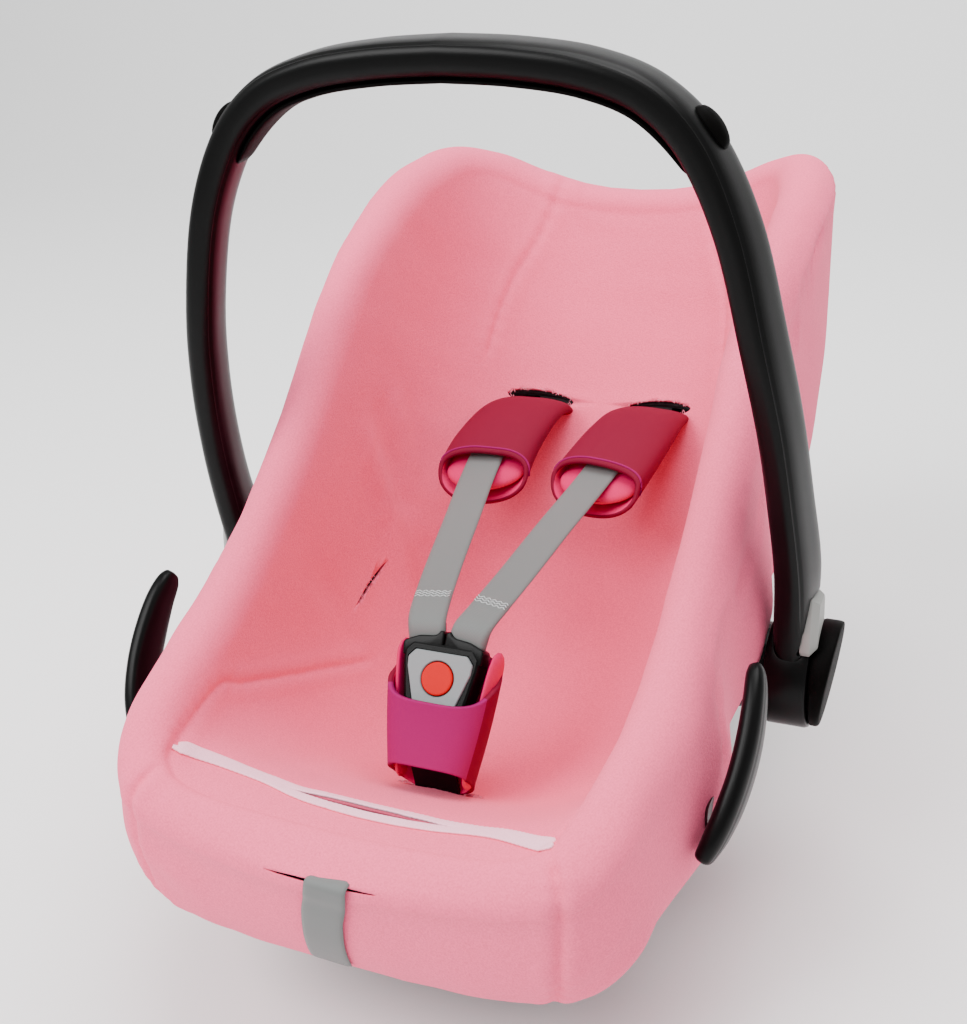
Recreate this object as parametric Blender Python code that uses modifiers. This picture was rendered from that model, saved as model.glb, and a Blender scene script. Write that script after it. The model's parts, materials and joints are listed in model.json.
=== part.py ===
"""Infant car seat: rear-facing carrier with swinging carry handle and three-point harness.

Metres, +Z up, the foot end toward -Y, the head end toward +Y, mirror-symmetric about X = 0.
"""
import math
from math import cos, sin, pi, radians

import bmesh
import bpy
from mathutils import Matrix, Vector
from mathutils.bvhtree import BVHTree

# ---------------------------------------------------------------- driving dimensions
NAME = "Infant_Car_Seat"
SHIFT_Y = -0.0181           # moves the finished seat so its box is centred on the origin
GAP = 0.0004                # air between touching pieces

COLS = 48                   # columns round every bowl-shaped surface
BOWL_RINGS = 10
ROLL_RINGS = 5
SKIRT_RINGS = 6
COVER_T = 0.0040
SHELL_T = 0.0040
COVER_GAP = 0.0006
FLOOR_POLE = (-0.030, 0.060)    # y and z of the lowest point of the body
CORNER_POWER = 4.2

# spine y, spine z, half width, rim y, rim z, squareness of the hollow, foot to head
STATIONS = [
    (-0.262, 0.183, 0.125, -0.262, 0.204, 2.2),
    (-0.222, 0.172, 0.128, -0.222, 0.213, 2.4),
    (-0.175, 0.143, 0.130, -0.170, 0.220, 2.9),
    (-0.115, 0.110, 0.131, -0.112, 0.238, 3.2),
    (-0.050, 0.100, 0.131, -0.055, 0.266, 3.2),
    (0.010, 0.110, 0.131, -0.005, 0.300, 3.2),
    (0.065, 0.142, 0.131, 0.038, 0.340, 3.1),
    (0.122, 0.190, 0.132, 0.085, 0.380, 3.0),
    (0.185, 0.244, 0.134, 0.135, 0.413, 2.9),
    (0.240, 0.306, 0.133, 0.190, 0.446, 2.6),
    (0.285, 0.374, 0.126, 0.247, 0.467, 2.2),
]

PIVOT_Y = -0.012
PIVOT_Z = 0.168
PIVOT = (PIVOT_Y, PIVOT_Z)
DRUM_R = 0.0365
DRUM_IN = 0.1805
DRUM_OUT = 0.2085
DISC_R = 0.0345
DISC_T = 0.0065
BORE_R = 0.0300
BORE_FLOOR = 0.1850

BUTTON_MID = (PIVOT_Y - 0.0150, PIVOT_Z + 0.0465)
BUTTON_IN = 0.2022
BUTTON_T = 0.0102

# release button outline, y and z from the pivot: its lower edge runs round the hub disc
BUTTON_EDGE = [
    (-0.0225, 0.0650), (-0.0255, 0.0520), (-0.0275, 0.0400), (-0.0280, 0.0305), (-0.0265, 0.0275),
    (-0.0210, 0.0330), (-0.0120, 0.0375), (-0.0030, 0.0395), (-0.0005, 0.0440), (-0.0010, 0.0600),
    (-0.0040, 0.0640),
]

# half the arch, hub to middle of the grip: x, y, z, half thickness, half depth, toe-in in degrees
ARCH = [
    (0.1955, -0.012, 0.168, 0.0125, 0.0225, 0.0),
    (0.1962, -0.022, 0.207, 0.0112, 0.0210, 4.0),
    (0.1980, -0.031, 0.252, 0.0107, 0.0190, 12.0),
    (0.1946, -0.041, 0.301, 0.0102, 0.0182, 12.0),
    (0.1890, -0.048, 0.351, 0.0100, 0.0182, 12.0),
    (0.1797, -0.0525, 0.402, 0.0098, 0.0187, 12.0),
    (0.1650, -0.0510, 0.462, 0.0100, 0.0187, 10.0),
    (0.1440, -0.047, 0.506, 0.0104, 0.0187, 5.0),
    (0.1170, -0.045, 0.5325, 0.0105, 0.0185, 0.0),
    (0.0830, -0.045, 0.5460, 0.0105, 0.0185, 0.0),
    (0.0420, -0.045, 0.5520, 0.0105, 0.0185, 0.0),
    (0.0000, -0.045, 0.5540, 0.0105, 0.0185, 0.0),
]
ARCH_STEPS = 32
ARCH_SIDES = 16

WEB_W = 0.0250              # harness webbing
WEB_T = 0.0018
SLOT_X = 0.047              # shoulder slots
SLOT_W = 0.050
BUCKLE = Vector((0.0, -0.132, 0.200))       # middle of the press button
BUCKLE_LEAN = radians(36)
BUCKLE_UP = Vector((0.0, sin(BUCKLE_LEAN), cos(BUCKLE_LEAN)))
BUCKLE_FACE = Vector((0.0, -cos(BUCKLE_LEAN), sin(BUCKLE_LEAN)))

RAIL_X = 0.088
RAIL_W = 0.016

MATERIALS = {
    "black_plastic": ((0.012, 0.012, 0.013), 0.38, 0.0),
    "soft_black": ((0.018, 0.018, 0.020), 0.62, 0.0),
    "grey_plastic": ((0.22, 0.22, 0.21), 0.42, 0.0),
    "pale_grey": ((0.38, 0.41, 0.41), 0.40, 0.0),
    "red_plastic": ((0.74, 0.065, 0.050), 0.35, 0.0),
    "terry_pink": ((0.80, 0.30, 0.40), 0.95, 0.0),
    "pale_binding": ((0.90, 0.56, 0.63), 0.90, 0.0),
    "crimson_pad": ((0.44, 0.035, 0.10), 0.80, 0.0),
    "webbing": ((0.30, 0.31, 0.32), 0.75, 0.0),
    "foam": ((0.055, 0.055, 0.058), 0.90, 0.0),
    "steel": ((0.52, 0.53, 0.55), 0.30, 1.0),
}


# ---------------------------------------------------------------- scene helpers
def clear_scene():
    for obj in list(bpy.data.objects):
        bpy.data.objects.remove(obj, do_unlink=True)
    for coll in list(bpy.data.collections):
        bpy.data.collections.remove(coll)


def new_collection(name):
    coll = bpy.data.collections.new(name)
    bpy.context.scene.collection.children.link(coll)
    return coll


def material(key, node):
    colour, rough, metal = MATERIALS[key]
    mat = bpy.data.materials.new(node + "_mat")
    mat.use_nodes = True
    bsdf = mat.node_tree.nodes["Principled BSDF"]
    bsdf.inputs["Base Color"].default_value = (*colour, 1.0)
    bsdf.inputs["Roughness"].default_value = rough
    bsdf.inputs["Metallic"].default_value = metal
    mat.diffuse_color = (*colour, 1.0)
    return mat


def add_mesh(name, verts, faces, coll):
    mesh = bpy.data.meshes.new(name)
    mesh.from_pydata([tuple(v) for v in verts], [], faces)
    mesh.update()
    obj = bpy.data.objects.new(name, mesh)
    coll.objects.link(obj)
    return obj


def from_bmesh(name, bm, coll):
    bmesh.ops.recalc_face_normals(bm, faces=bm.faces)
    mesh = bpy.data.meshes.new(name)
    bm.to_mesh(mesh)
    bm.free()
    obj = bpy.data.objects.new(name, mesh)
    coll.objects.link(obj)
    return obj


def bake(obj):
    """Apply every modifier and leave a plain mesh."""
    bpy.context.view_layer.update()
    deps = bpy.context.evaluated_depsgraph_get()
    mesh = bpy.data.meshes.new_from_object(obj.evaluated_get(deps))
    obj.modifiers.clear()
    obj.data = mesh


def finish(obj, key, smooth=True):
    """Move the piece into place, give it its material and shade it."""
    obj.data.transform(Matrix.Translation((0.0, SHIFT_Y, 0.0)))
    obj.data.materials.clear()
    obj.data.materials.append(material(key, obj.name))
    if smooth:
        obj.data.shade_smooth()
        angle = radians(38)
        for edge in sharp_edges(obj.data, angle):
            obj.data.edges[edge].use_edge_sharp = True
    return obj


def sharp_edges(mesh, angle):
    bm = bmesh.new()
    bm.from_mesh(mesh)
    found = []
    for edge in bm.edges:
        if len(edge.link_faces) == 2 and edge.calc_face_angle(0.0) > angle:
            found.append(edge.index)
    bm.free()
    return found


def set_origin(obj, point):
    """Put the object's origin on its joint axis without moving the piece."""
    where = Vector(point) + Vector((0.0, SHIFT_Y, 0.0))
    obj.data.transform(Matrix.Translation(-where))
    obj.location = where


def cut(obj, tool):
    mod = obj.modifiers.new("Cut", "BOOLEAN")
    mod.operation = "DIFFERENCE"
    mod.solver = "EXACT"
    mod.object = tool
    bake(obj)


def join_solid(obj, tool):
    mod = obj.modifiers.new("Union", "BOOLEAN")
    mod.operation = "UNION"
    mod.solver = "EXACT"
    mod.object = tool
    bake(obj)


def bevel(obj, width, segments=2, angle=35.0):
    mod = obj.modifiers.new("Bevel", "BEVEL")
    mod.width = width
    mod.segments = segments
    mod.limit_method = "ANGLE"
    mod.angle_limit = radians(angle)
    bake(obj)


def mirrored(obj, name, coll):
    """The same piece on the other side of the seat."""
    mesh = obj.data.copy()
    mesh.transform(Matrix.Scale(-1.0, 4, (1.0, 0.0, 0.0)))
    mesh.flip_normals()
    twin = bpy.data.objects.new(name, mesh)
    coll.objects.link(twin)
    return twin


def box(name, size, centre, coll, rot=None):
    bm = bmesh.new()
    bmesh.ops.create_cube(bm, size=1.0)
    mat = Matrix.Diagonal((*size, 1.0))
    if rot is not None:
        mat = rot.to_4x4() @ mat
    bmesh.ops.transform(bm, matrix=Matrix.Translation(centre) @ mat, verts=bm.verts)
    return from_bmesh(name, bm, coll)


def cylinder(name, radius, start, end, coll, segments=32, radius2=None):
    a = Vector(start)
    b = Vector(end)
    axis = b - a
    bm = bmesh.new()
    tip = radius if radius2 is None else radius2
    bmesh.ops.create_cone(bm, cap_ends=True, segments=segments, radius1=radius, radius2=tip,
                          depth=axis.length)
    turn = Vector((0, 0, 1)).rotation_difference(axis.normalized()).to_matrix().to_4x4()
    bmesh.ops.transform(bm, matrix=Matrix.Translation((a + b) / 2) @ turn, verts=bm.verts)
    return from_bmesh(name, bm, coll)


def plate(name, outline, place, thickness, coll):
    """A flat plate: outline in its own plane, place maps (u, v, w) to the world."""
    count = len(outline)
    verts = [place @ Vector((u, v, 0.0)) for u, v in outline]
    verts += [place @ Vector((u, v, thickness)) for u, v in outline]
    faces = [list(range(count))[::-1], list(range(count, 2 * count))]
    for i in range(count):
        j = (i + 1) % count
        faces.append([i, j, count + j, count + i])
    bm = bmesh.new()
    rows = [bm.verts.new(v) for v in verts]
    for face in faces:
        bm.faces.new([rows[i] for i in face])
    return from_bmesh(name, bm, coll)


def rounded_outline(half_u, half_v, power, count, taper=0.0):
    """Rounded four-sided outline; taper narrows it toward -v."""
    pts = []
    for i in range(count):
        ang = 2 * pi * (i + 0.5) / count
        u = half_u * math.copysign(abs(cos(ang)) ** (2 / power), cos(ang))
        v = half_v * math.copysign(abs(sin(ang)) ** (2 / power), sin(ang))
        u *= 1.0 + taper * v / half_v
        pts.append((u, v))
    return pts


def loft(name, rings, coll, closed_ends=True):
    """Skin a list of equal-length closed rings and cap both ends."""
    bm = bmesh.new()
    rows = [[bm.verts.new(p) for p in ring] for ring in rings]
    count = len(rings[0])
    for low, high in zip(rows, rows[1:]):
        for i in range(count):
            j = (i + 1) % count
            bm.faces.new([low[i], low[j], high[j], high[i]])
    if closed_ends:
        bm.faces.new(rows[0][::-1])
        bm.faces.new(rows[-1])
    return from_bmesh(name, bm, coll)


def strap(name, path, normals, width, thickness, coll):
    """Flat webbing along a path; normals give the face direction at each point."""
    rings = []
    last = len(path) - 1
    for i, (point, normal) in enumerate(zip(path, normals)):
        ahead = Vector(path[min(i + 1, last)]) - Vector(path[max(i - 1, 0)])
        face = Vector(normal).normalized()
        side = ahead.normalized().cross(face).normalized() * width / 2
        up = side.cross(ahead).normalized() * thickness / 2
        mid = Vector(point)
        rings.append([mid - side - up, mid + side - up, mid + side + up, mid - side + up])
    return loft(name, rings, coll)


def spring_coil(name, start, end, radius, wire, turns, coll):
    """Round-wire coil swept with a curve bevel, then turned into a mesh."""
    a = Vector(start)
    b = Vector(end)
    axis = (b - a).normalized()
    side = axis.orthogonal().normalized()
    other = axis.cross(side)
    curve = bpy.data.curves.new(name, "CURVE")
    curve.dimensions = "3D"
    curve.bevel_depth = wire
    curve.bevel_resolution = 0
    curve.use_fill_caps = True
    line = curve.splines.new("POLY")
    steps = int(turns * 9)
    line.points.add(steps)
    for i in range(steps + 1):
        ang = 2 * pi * turns * i / steps
        point = a.lerp(b, i / steps) + (side * cos(ang) + other * sin(ang)) * radius
        line.points[i].co = (*point, 1.0)
    temp = bpy.data.objects.new(name + "_curve", curve)
    coll.objects.link(temp)
    bpy.context.view_layer.update()
    mesh = bpy.data.meshes.new_from_object(temp.evaluated_get(bpy.context.evaluated_depsgraph_get()))
    bpy.data.objects.remove(temp, do_unlink=True)
    bm = bmesh.new()
    bm.from_mesh(mesh)
    bmesh.ops.remove_doubles(bm, verts=bm.verts, dist=0.00002)
    bpy.data.meshes.remove(mesh)
    return from_bmesh(name, bm, coll)


# ---------------------------------------------------------------- body surfaces
def catmull(rows, t):
    """Smooth interpolation through a table of rows, t in 0..1."""
    span = t * (len(rows) - 1)
    i = min(int(span), len(rows) - 2)
    f = span - i
    p0 = rows[max(i - 1, 0)]
    p1 = rows[i]
    p2 = rows[i + 1]
    p3 = rows[min(i + 2, len(rows) - 1)]
    out = []
    for a, b, c, d in zip(p0, p1, p2, p3):
        out.append(0.5 * (2 * b + (c - a) * f + (2 * a - 5 * b + 4 * c - d) * f * f
                          + (3 * b - a - 3 * c + d) * f ** 3))
    return out


def hollow(a, b):
    """Point of the seat hollow; a runs foot to head, b across, both -1..1."""
    cy, cz, rx, ry, rz, power = catmull(STATIONS, (a + 1) / 2)
    ang = abs(b) * pi / 2
    rise = 1 - cos(ang) ** (2 / power) if ang < pi / 2 - 1e-9 else 1.0
    x = math.copysign(rx * sin(ang) ** (2 / power), b)
    return Vector((x, cy + (ry - cy) * rise, cz + (rz - cz) * rise))


def rim_param(col):
    """Where a column meets the rim, in the a, b plane of the hollow."""
    ang = 2 * pi * col / COLS
    a = -math.copysign(abs(cos(ang)) ** (2 / CORNER_POWER), cos(ang))
    b = math.copysign(abs(sin(ang)) ** (2 / CORNER_POWER), sin(ang))
    return a, b


def rim_frame(col):
    """Rim point, the direction out over the rim and the direction up the wall."""
    a, b = rim_param(col)
    point = hollow(a, b)
    nxt = hollow(*rim_param(col + 1))
    prv = hollow(*rim_param(col - 1))
    along = (nxt - prv).normalized()
    inner = hollow(a * 0.94, b * 0.94)
    wall = point - inner
    wall = (wall - along * wall.dot(along)).normalized()
    lift = Vector((0.0, 0.0, 1.0)) - along * along.z
    headness = max(0.0, a) ** 6
    footness = max(0.0, -a) ** 6
    up = (wall * (0.45 + 0.75 * footness) + lift.normalized() * (1.0 - 0.35 * headness)).normalized()
    out = up.cross(along).normalized()
    if out.dot(Vector((point.x, point.y - FLOOR_POLE[0], 0.0))) < 0:
        out = -out
    return point, out, up, a, b


def rim_width(a, b):
    side = 0.034
    foot = 0.030
    head = 0.040
    wf = max(0.0, -a) ** 8
    wh = max(0.0, a) ** 8
    wing = 0.007 * max(0.0, a) ** 2 * b * b
    return side + wing + (foot - side) * wf + (head - side) * wh


def rim_height(a):
    side = 0.021
    foot = 0.007
    head = 0.018
    wf = max(0.0, -a) ** 6
    wh = max(0.0, a) ** 8
    return side + (foot - side) * wf + (head - side) * wh


def wall_power(a, b):
    """How square the outer wall is: boxy at the sides, sloping behind the head."""
    head = max(0.0, a) ** 6 * (1 - b * b)
    foot = max(0.0, -a) ** 5
    return 3.2 - 1.55 * head + 0.7 * foot


def hem_share(a):
    """How far down the outer wall the cover reaches, as a share of its arc."""
    head = max(0.0, a) ** 4
    foot = max(0.0, -a) ** 3
    return 0.54 - 0.29 * head + 0.05 * foot


def body_point(col, part, k):
    """Point of the body skin: part is 'bowl', 'roll' or 'wall' and k runs 0..1 across it."""
    if part == "bowl":
        a, b = rim_param(col)
        return hollow(a * k, b * k)
    point, out, up, a, b = rim_frame(col)
    width = rim_width(a, b)
    if part == "roll":
        ang = pi * k
        return point + out * (width / 2 * (1 - cos(ang))) + up * (rim_height(a) * sin(ang))
    top = point + out * width
    power = wall_power(a, b)
    ang = k * pi / 2
    near = cos(ang) ** (2 / power) if k < 1 else 0.0
    down = sin(ang) ** (2 / power)
    y0, z0 = FLOOR_POLE
    return Vector((top.x * near, y0 + (top.y - y0) * near, top.z + (z0 - top.z) * down))


def ring(part, k):
    return [body_point(c, part, k) for c in range(COLS)]


def add_rings(bm, rings, pole_first=None, pole_last=None):
    rows = [[bm.verts.new(p) for p in r] for r in rings]
    for low, high in zip(rows, rows[1:]):
        for i in range(COLS):
            j = (i + 1) % COLS
            bm.faces.new([low[i], low[j], high[j], high[i]])
    if pole_first is not None:
        tip = bm.verts.new(pole_first)
        for i in range(COLS):
            bm.faces.new([tip, rows[0][(i + 1) % COLS], rows[0][i]])
    if pole_last is not None:
        tip = bm.verts.new(pole_last)
        for i in range(COLS):
            bm.faces.new([tip, rows[-1][i], rows[-1][(i + 1) % COLS]])
    return rows


def bowl_rings():
    steps = [((i + 1) / BOWL_RINGS) ** 0.85 for i in range(BOWL_RINGS)]
    return [ring("bowl", k) for k in steps]


def make_cover(coll):
    """Stretch cover: hollow, over the rim and down the outside, turned into 4 mm fabric."""
    rings = bowl_rings()
    rings += [ring("roll", (i + 1) / ROLL_RINGS) for i in range(ROLL_RINGS)]
    for i in range(SKIRT_RINGS):
        t = (i + 1) / SKIRT_RINGS
        row = []
        for c in range(COLS):
            a, b = rim_param(c)
            row.append(body_point(c, "wall", t * hem_share(a)))
        rings.append(row)
    bm = bmesh.new()
    add_rings(bm, rings, pole_first=hollow(0.0, 0.0))
    obj = from_bmesh("Seat_Cover", bm, coll)
    up = sum((p.normal.z for p in obj.data.polygons if abs(p.center.x) < 0.03), 0.0)
    if up < 0:
        obj.data.flip_normals()
    mod = obj.modifiers.new("Fabric", "SOLIDIFY")
    mod.thickness = COVER_T
    mod.offset = -1.0
    bake(obj)
    return obj


def offset_rows(bm, rows, distance, upward):
    """Ring points moved off a surface; upward tells which way its floor faces."""
    bmesh.ops.recalc_face_normals(bm, faces=bm.faces)
    bm.normal_update()
    floor = sum(f.normal.z for f in bm.faces if abs(f.calc_center_median().x) < 0.03)
    turn = 1.0 if (floor > 0) == upward else -1.0
    return [[v.co + v.normal * turn * distance for v in row] for row in rows]


def shell_surface():
    """Outer face of the moulded bucket, just inside the cover, from the rim down to the keel."""
    rings = [ring("roll", 0.6), ring("roll", 0.8)]
    rings += [ring("wall", i / 10) for i in range(10)]
    keel = Vector((0.0, *FLOOR_POLE))
    skin = bmesh.new()
    rows = offset_rows(skin, add_rings(skin, rings, pole_last=keel), -(COVER_T + COVER_GAP * 2), False)
    skin.free()
    keel.z += COVER_T + COVER_GAP * 2
    bm = bmesh.new()
    return bm, add_rings(bm, rows, pole_last=keel), keel


def make_shell(coll):
    """Moulded outer bucket, 4 mm thick."""
    bm, _, _ = shell_surface()
    obj = from_bmesh("Shell", bm, coll)
    low = min(obj.data.polygons, key=lambda p: p.center.z)
    if low.normal.z > 0:
        obj.data.flip_normals()
    mod = obj.modifiers.new("Wall", "SOLIDIFY")
    mod.thickness = SHELL_T
    mod.offset = -1.0
    bake(obj)
    return obj


def make_foam(coll):
    """Foam liner filling the space between the cover and the shell."""
    top = bmesh.new()
    rows = bowl_rings() + [ring("roll", (i + 1) / ROLL_RINGS) for i in range(3)]
    kept = add_rings(top, rows, pole_first=hollow(0.0, 0.0))
    upper = offset_rows(top, kept, -(COVER_T + COVER_GAP * 2), True)[:-1]
    top.free()
    bottom, kept, keel = shell_surface()
    lower = offset_rows(bottom, kept, -(SHELL_T + COVER_GAP * 2), False)
    bottom.free()
    crown = Vector((0.0, -0.15, 1.0)).normalized()
    pole = hollow(0.0, 0.0) - crown * (COVER_T + COVER_GAP * 2)
    bm = bmesh.new()
    add_rings(bm, upper + lower, pole_first=pole,
              pole_last=keel + Vector((0.0, 0.0, SHELL_T + COVER_GAP * 2)))
    return from_bmesh("Foam_Liner", bm, coll)


# ---------------------------------------------------------------- carry handle and hubs
def arch_rings():
    """Rounded-rectangle rings along the whole arch, left hub to right hub."""
    half = [catmull(ARCH, i / ARCH_STEPS) for i in range(ARCH_STEPS + 1)]
    line = [(-x, y, z, t, d, -toe) for x, y, z, t, d, toe in half]
    line += [tuple(r) for r in half[-2::-1]]
    rings = []
    last = len(line) - 1
    for i, (x, y, z, thick, depth, toe) in enumerate(line):
        ahead = Vector(line[min(i + 1, last)][:3]) - Vector(line[max(i - 1, 0)][:3])
        ahead.normalize()
        fore = Vector((-sin(radians(toe)), -cos(radians(toe)), 0.0))
        fore = (fore - ahead * fore.dot(ahead)).normalized()
        wide = ahead.cross(fore)
        outline = rounded_outline(thick, depth, 3.4, ARCH_SIDES)
        rings.append([Vector((x, y, z)) + wide * u + fore * v for u, v in outline])
    return rings, line


def button_plate(name, grow, side, inner, thickness, coll):
    """Release button outline, grown about its middle, as a plate facing outward."""
    mid_y = BUTTON_MID[0] - PIVOT_Y
    mid_z = BUTTON_MID[1] - PIVOT_Z
    outline = [(mid_y + (y - mid_y) * grow, mid_z + (z - mid_z) * grow) for y, z in BUTTON_EDGE]
    place = Matrix(((0, 0, side, side * inner), (1, 0, 0, PIVOT_Y), (0, 1, 0, PIVOT_Z), (0, 0, 0, 1)))
    return plate(name, outline, place, thickness, coll)


def make_handle(parts, cutters):
    rings, _ = arch_rings()
    handle = loft("Carry_Handle", rings, parts)
    for side in (-1, 1):
        drum = cylinder("drum", DRUM_R, (side * DRUM_IN, *PIVOT), (side * DRUM_OUT, *PIVOT), cutters, 40)
        join_solid(handle, drum)
        bore = cylinder("bore", BORE_R, (side * BORE_FLOOR, *PIVOT), (side * 0.23, *PIVOT), cutters, 40)
        cut(handle, bore)
        hole = cylinder("axle_hole", 0.0085, (side * 0.18, *PIVOT), (side * 0.2, *PIVOT), cutters, 24)
        cut(handle, hole)
        pocket = button_plate("pocket", 1.06, side, 0.1967, 0.0175, cutters)
        cut(handle, pocket)
    return handle


def make_grip(parts):
    """Soft insert along the inner face of the arch, between the two canopy hooks."""
    _, line = arch_rings()
    kept = [row for row in line if abs(row[0]) < 0.150 and row[2] > 0.45]
    rings = []
    last = len(kept) - 1
    for i, (x, y, z, thick, depth, _) in enumerate(kept):
        ahead = Vector(kept[min(i + 1, last)][:3]) - Vector(kept[max(i - 1, 0)][:3])
        ahead.normalize()
        fore = (Vector((0.0, -1.0, 0.0)) + ahead * ahead.y).normalized()
        inward = -ahead.cross(fore)
        if inward.dot(Vector((x, 0.0, z - 0.40))) > 0:
            inward = -inward
        ease = min(1.0, min(i, last - i) / 3.0)
        deep = 0.0008 + 0.0010 * ease
        mid = Vector((x, y, z)) + inward * (thick + GAP + deep)
        outline = rounded_outline(deep, depth * 0.62, 3.0, 10)
        rings.append([mid + inward * u + fore * v for u, v in outline])
    return loft("Handle_Grip", rings, parts)


def make_canopy_hook(parts):
    """Small crescent tab standing on the outer corner of the arch."""
    base = Vector((0.1452, -0.046, 0.5040))
    out = Vector((0.79, 0.0, 0.61)).normalized()
    along = Vector((0.61, 0.0, -0.79)).normalized()
    fore = Vector((0.0, -1.0, 0.0))
    count = 14
    outline = [(0.013 * cos(pi * i / (count - 1)), 0.0075 * sin(pi * i / (count - 1))) for i in range(count)]
    place = Matrix((
        (along.x, out.x, fore.x, base.x + out.x * 0.0112),
        (along.y, out.y, fore.y, base.y + 0.006),
        (along.z, out.z, fore.z, base.z + out.z * 0.0112),
        (0, 0, 0, 1)))
    hook = plate("Canopy_Hook_R", outline, place, 0.012, parts)
    bevel(hook, 0.0015, 2)
    return hook


def make_hub(parts, cutters):
    """Right-hand hub pieces: boss, axle, gear, spring, disc and release button."""
    made = {}
    boss = cylinder("Hub_Boss_R", 0.030, (0.1630, *PIVOT), (DRUM_IN - GAP, *PIVOT), parts, 36, 0.027)
    cut(boss, cylinder("boss_hole", 0.0065, (0.155, *PIVOT), (0.19, *PIVOT), cutters, 24))
    made["Hub_Boss_R"] = (boss, "black_plastic")
    axle = cylinder("Pivot_Axle_R", 0.0060, (0.1640, *PIVOT), (0.2075, *PIVOT), parts, 24)
    collar = cylinder("collar", 0.0105, (0.2040, *PIVOT), (0.2075, *PIVOT), cutters, 24)
    join_solid(axle, collar)
    made["Pivot_Axle_R"] = (axle, "steel")
    teeth = []
    for i in range(48):
        ang = 2 * pi * (i + 0.5) / 48
        radius = 0.0275 if (i // 2) % 2 == 0 else 0.0240
        teeth.append((radius * cos(ang), radius * sin(ang)))
    place = Matrix(((0, 0, 1, 0.1976), (1, 0, 0, PIVOT_Y), (0, 1, 0, PIVOT_Z), (0, 0, 0, 1)))
    gear = plate("Lock_Gear_R", teeth, place, 0.0060, parts)
    cut(gear, cylinder("gear_hole", 0.0070, (0.190, *PIVOT), (0.210, *PIVOT), cutters, 24))
    made["Lock_Gear_R"] = (gear, "grey_plastic")
    coil = spring_coil("Lock_Spring_R", (0.1862, *PIVOT), (0.1965, *PIVOT), 0.0112, 0.0007, 3, parts)
    made["Lock_Spring_R"] = (coil, "steel")
    disc_in = DRUM_OUT + GAP
    disc = cylinder("Hub_Disc_R", DISC_R, (disc_in, *PIVOT), (disc_in + DISC_T, *PIVOT), parts, 32)
    bevel(disc, 0.0022, 2)
    made["Hub_Disc_R"] = (disc, "soft_black")
    button = button_plate("Release_Button_R", 1.0, 1, BUTTON_IN, BUTTON_T, parts)
    bevel(button, 0.0018, 2)
    made["Release_Button_R"] = (button, "grey_plastic")
    return made


# ---------------------------------------------------------------- rails, guides and shell fittings
def under_height(tree, x, y):
    hit = tree.ray_cast(Vector((x, y, -0.1)), Vector((0, 0, 1)))
    return hit[0].z if hit[0] is not None else None


def make_rail(tree, parts):
    """Rocker rail: flat in the middle, rising at both ends, its top following the shell."""
    stations = 26
    y_start, y_end = -0.172, 0.165
    rings = []
    for i in range(stations + 1):
        y = y_start + (y_end - y_start) * i / stations
        xs = (RAIL_X - RAIL_W / 2, RAIL_X + RAIL_W / 2)
        tops = [under_height(tree, x, y) for x in (xs[0], RAIL_X, xs[1])]
        top = min(tops) - 0.0012
        rise_f = max(0.0, (-0.105 - y) / 0.080)
        rise_b = max(0.0, (y - 0.085) / 0.080)
        bottom = 0.034 * rise_f ** 1.8 + 0.040 * rise_b ** 1.8
        rings.append([(xs[0], y, bottom), (xs[1], y, bottom), (xs[1], y, top), (xs[0], y, top)])
    rail = loft("Rocker_Rail_R", rings, parts)
    bevel(rail, 0.0012, 1, 50.0)
    return rail


def make_dock_bar(name, y, z, parts):
    reach = RAIL_X - RAIL_W / 2 - GAP
    return cylinder(name, 0.005, (-reach, y, z), (reach, y, z), parts, 20)


def make_guide(parts):
    """Curved fin that holds the lap belt down; its upper half stands clear of the seat."""
    spine = [
        (0.1925, -0.1200, 0.2390, 0.0030, 0.0045), (0.1945, -0.1250, 0.2350, 0.0055, 0.0090),
        (0.1965, -0.1360, 0.2245, 0.0065, 0.0120), (0.1970, -0.1500, 0.2090, 0.0070, 0.0140),
        (0.1955, -0.1640, 0.1940, 0.0070, 0.0145), (0.1920, -0.1770, 0.1800, 0.0070, 0.0135),
        (0.1870, -0.1870, 0.1670, 0.0065, 0.0115), (0.1815, -0.1940, 0.1560, 0.0050, 0.0080),
    ]
    rings = []
    steps = 20
    for i in range(steps + 1):
        x, y, z, thick, depth = catmull(spine, i / steps)
        ahead = Vector(catmull(spine, min(1.0, (i + 0.5) / steps))[:3])
        ahead = (ahead - Vector(catmull(spine, max(0.0, (i - 0.5) / steps))[:3])).normalized()
        wide = (Vector((1.0, 0.0, 0.0)) - ahead * ahead.x).normalized()
        fore = ahead.cross(wide)
        outline = rounded_outline(thick, depth, 2.8, 14)
        rings.append([Vector((x, y, z)) + wide * u + fore * v for u, v in outline])
    return loft("Belt_Guide_R", rings, parts)


def make_cheek(tree, parts):
    """Short arm from the shell wall, out and forward to the lower half of the fin."""
    rings = []
    for t in (0.0, 0.35, 0.7, 1.0):
        ring_points = []
        for u, v in rounded_outline(0.0110 - 0.0030 * t, 0.0105 - 0.0020 * t, 3.0, 16):
            y = -0.1360 - 0.0360 * t + u
            z = 0.1440 + 0.0280 * t + v
            wall = tree.ray_cast(Vector((0.3, y, z)), Vector((-1, 0, 0)))[0]
            start = wall.x + 0.0012
            ring_points.append(Vector((start + (0.1812 - start) * t, y, z)))
        rings.append(ring_points)
    return loft("Belt_Guide_Cheek_R", rings, parts)


def back_height(tree, x, z):
    """Rear face of the shell at a given height."""
    hit = tree.ray_cast(Vector((x, 0.6, z)), Vector((0, -1, 0)))
    return hit[0], hit[1]


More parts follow.
